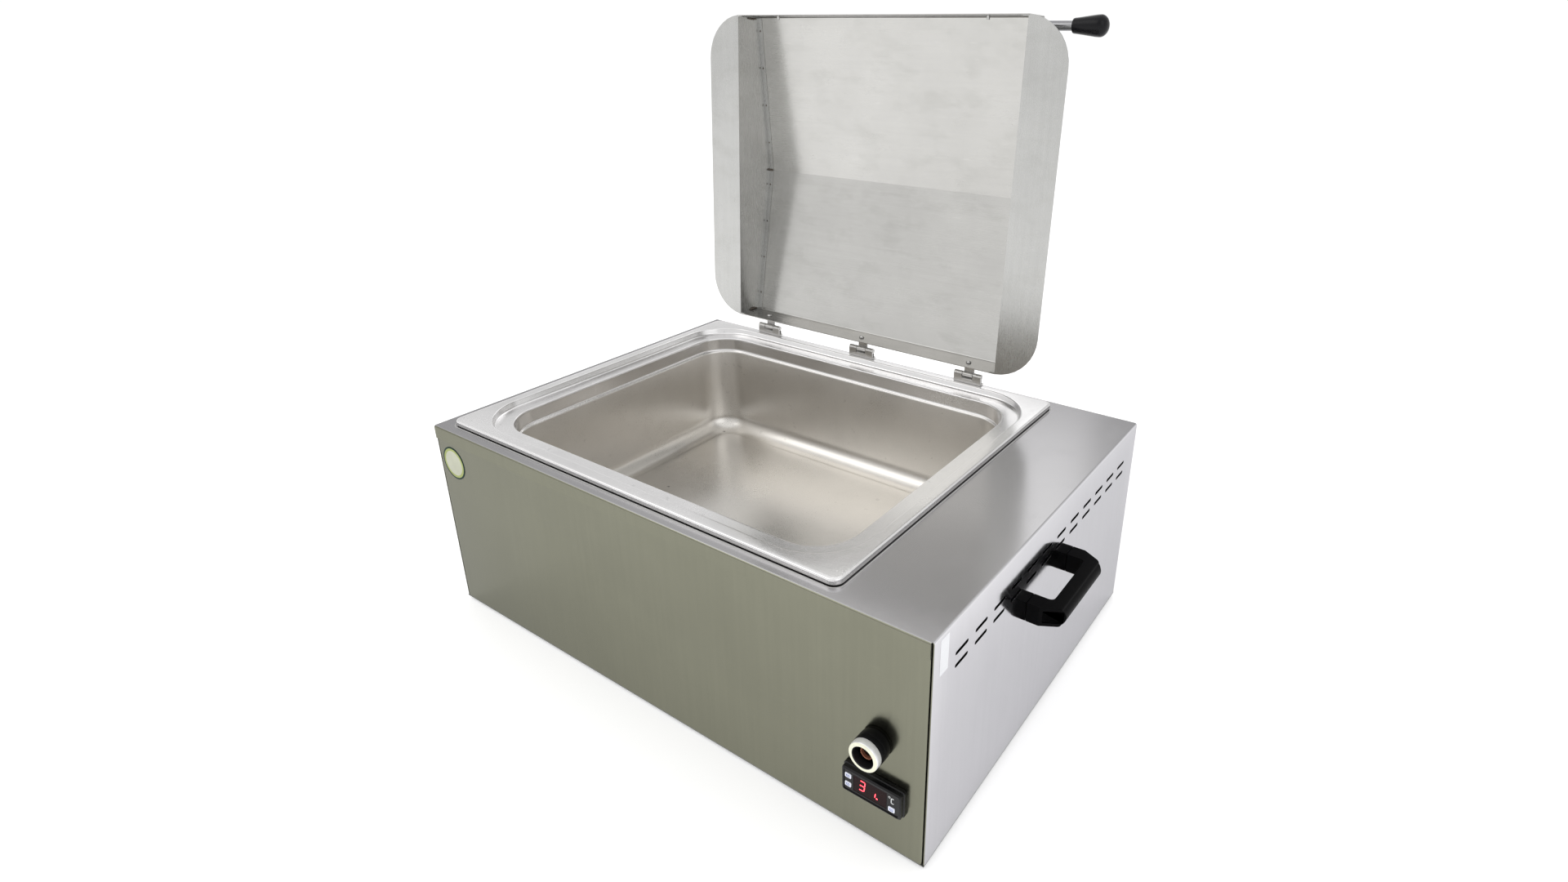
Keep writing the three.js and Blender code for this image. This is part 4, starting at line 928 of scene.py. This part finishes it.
panel_low, _ = corner_box("front_panel")
front_y = panel_low.y
label = (33.5, front_y, 232.5)       # centre of the round label
rim = [(21.8, 0.01), (24.0, 0.01), (24.3, -0.05), (24.3, -0.2), (24.1, -0.26), (21.8, -0.26)]
piece("round_label_rim", lathe(rim, "y", label, segments=96), "label_rim", "casing")
band = [(18.4, 0.01), (21.8, 0.01), (21.8, -0.25), (18.4, -0.25)]
piece("round_label_band", lathe(band, "y", label, segments=96), "label_band", "casing")
disc = [(0, 0.01), (18.4, 0.01), (18.4, -0.25), (18.2, -0.28), (0, -0.28)]
piece("round_label_face", lathe(disc, "y", label, segments=96), "label_face", "casing")

paper = rounded_rect(14.5, 235, 30.4, 276.5, 1.2, 5)
piece("side_label", prism(paper, "x", CASE_WIDTH - 0.01, CASE_WIDTH + 0.16), "paper", "casing",
      bevel=0.05)

# ---------------------------------------------------------------- cable gland and inner pieces

skin("cable_gland", "grey", bevel=0.3)
INNER = {
    "jacket_cradle": "plate", "dividing_wall": "plate", "temperature_probe": "hinge",
    "probe_clip": "hinge", "heating_mat": "mat", "insulation_jacket": "wool",
    "safety_cutout": "grey", "controller_case": "black", "controller_clamp": "grey",
    "button_nut": "ring", "contact_block": "grey", "power_relay": "relay",
    "terminal_block": "terminal", "gland_nut": "grey", "heater_lead": "rubber",
    "probe_lead": "grey", "button_lead": "rubber",
}
for node, look in INNER.items():
    mesh = frame["nodes"][node].data
    mesh.materials.clear()
    mesh.materials.append(looks[look].material)

# ---------------------------------------------------------------- floor, light and camera


def plane(name, size, centre, look):
    x, y, z = centre
    points = [(x - size, y - size, z), (x + size, y - size, z), (x + size, y + size, z),
              (x - size, y + size, z)]
    mesh = mesh_of(points, [(0, 1, 2, 3)])
    mesh.materials.append(looks[look].material)
    obj = bpy.data.objects.new(name, mesh)
    bpy.context.scene.collection.objects.link(obj)
    return obj


looks["floor"] = plain("floor_look", rgb(238, 238, 238), 0.7, (40.0, 40.0, 40.0), 0.0, 0.004,
                       Specular_IOR_Level=0.1, Emission_Color=(1, 1, 1, 1),
                       Emission_Strength=0.34)
plane("floor", 30.0, (0, 0, cad_box[0].z), "floor")


def area_light(name, place, target, size, power, colour=(1, 1, 1)):
    data = bpy.data.lights.new(name, "AREA")
    data.shape = "RECTANGLE"
    data.size, data.size_y = size
    data.energy = power
    data.color = colour
    obj = bpy.data.objects.new(name, data)
    bpy.context.scene.collection.objects.link(obj)
    obj.location = place
    obj.rotation_euler = (Vector(target) - Vector(place)).to_track_quat("-Z", "Y").to_euler()
    return obj


area_light("key_light", (-1.6, -1.6, 2.6), (0, 0, 0.3), (2.2, 1.8), 13, (1.0, 0.99, 0.97))
area_light("fill_light", (2.4, -0.8, 1.9), (0, 0, 0.3), (1.8, 1.8), 7, (0.98, 0.99, 1.0))
area_light("back_light", (-1.2, 2.6, 2.4), (0, 0, 0.4), (1.6, 1.6), 7)

world = bpy.data.worlds.new("studio")
bpy.context.scene.world = world
world.use_nodes = True
tree = world.node_tree
background = tree.nodes["Background"]
direction = tree.nodes.new("ShaderNodeTexCoord")
split = tree.nodes.new("ShaderNodeSeparateXYZ")
tree.links.new(direction.outputs["Generated"], split.inputs["Vector"])
height = tree.nodes.new("ShaderNodeMapRange")
height.inputs["From Min"].default_value = -1.0
height.inputs["From Max"].default_value = 1.0
tree.links.new(split.outputs["Z"], height.inputs["Value"])
sky = tree.nodes.new("ShaderNodeValToRGB")
SKY = [(0.0, 1.02), (0.5, 1.02), (0.60, 1.0), (0.70, 0.72), (0.82, 0.92), (1.0, 1.15)]
while len(sky.color_ramp.elements) < len(SKY):
    sky.color_ramp.elements.new(0.5)
for element, (position, _) in zip(sky.color_ramp.elements, SKY):
    element.position = position
for element, (_, value) in zip(sky.color_ramp.elements, SKY):
    element.color = (value, value, value, 1.0)
tree.links.new(height.outputs["Result"], sky.inputs["Fac"])
tree.links.new(sky.outputs["Color"], background.inputs["Color"])
background.inputs["Strength"].default_value = 1.0

camera_data = bpy.data.cameras.new("camera")
camera_data.lens = 19.82
camera_data.sensor_width = 36.0
camera_data.shift_x = -0.0424
camera_data.shift_y = -0.0372
camera = bpy.data.objects.new("camera", camera_data)
bpy.context.scene.collection.objects.link(camera)
camera.location = (0.689, -0.8444, 0.797)
camera.rotation_mode = "XYZ"
camera.rotation_euler = (math.radians(90 - 22.6), math.radians(-0.08), math.radians(35.0))
bpy.context.scene.camera = camera
bpy.context.scene.view_settings.view_transform = "Standard"
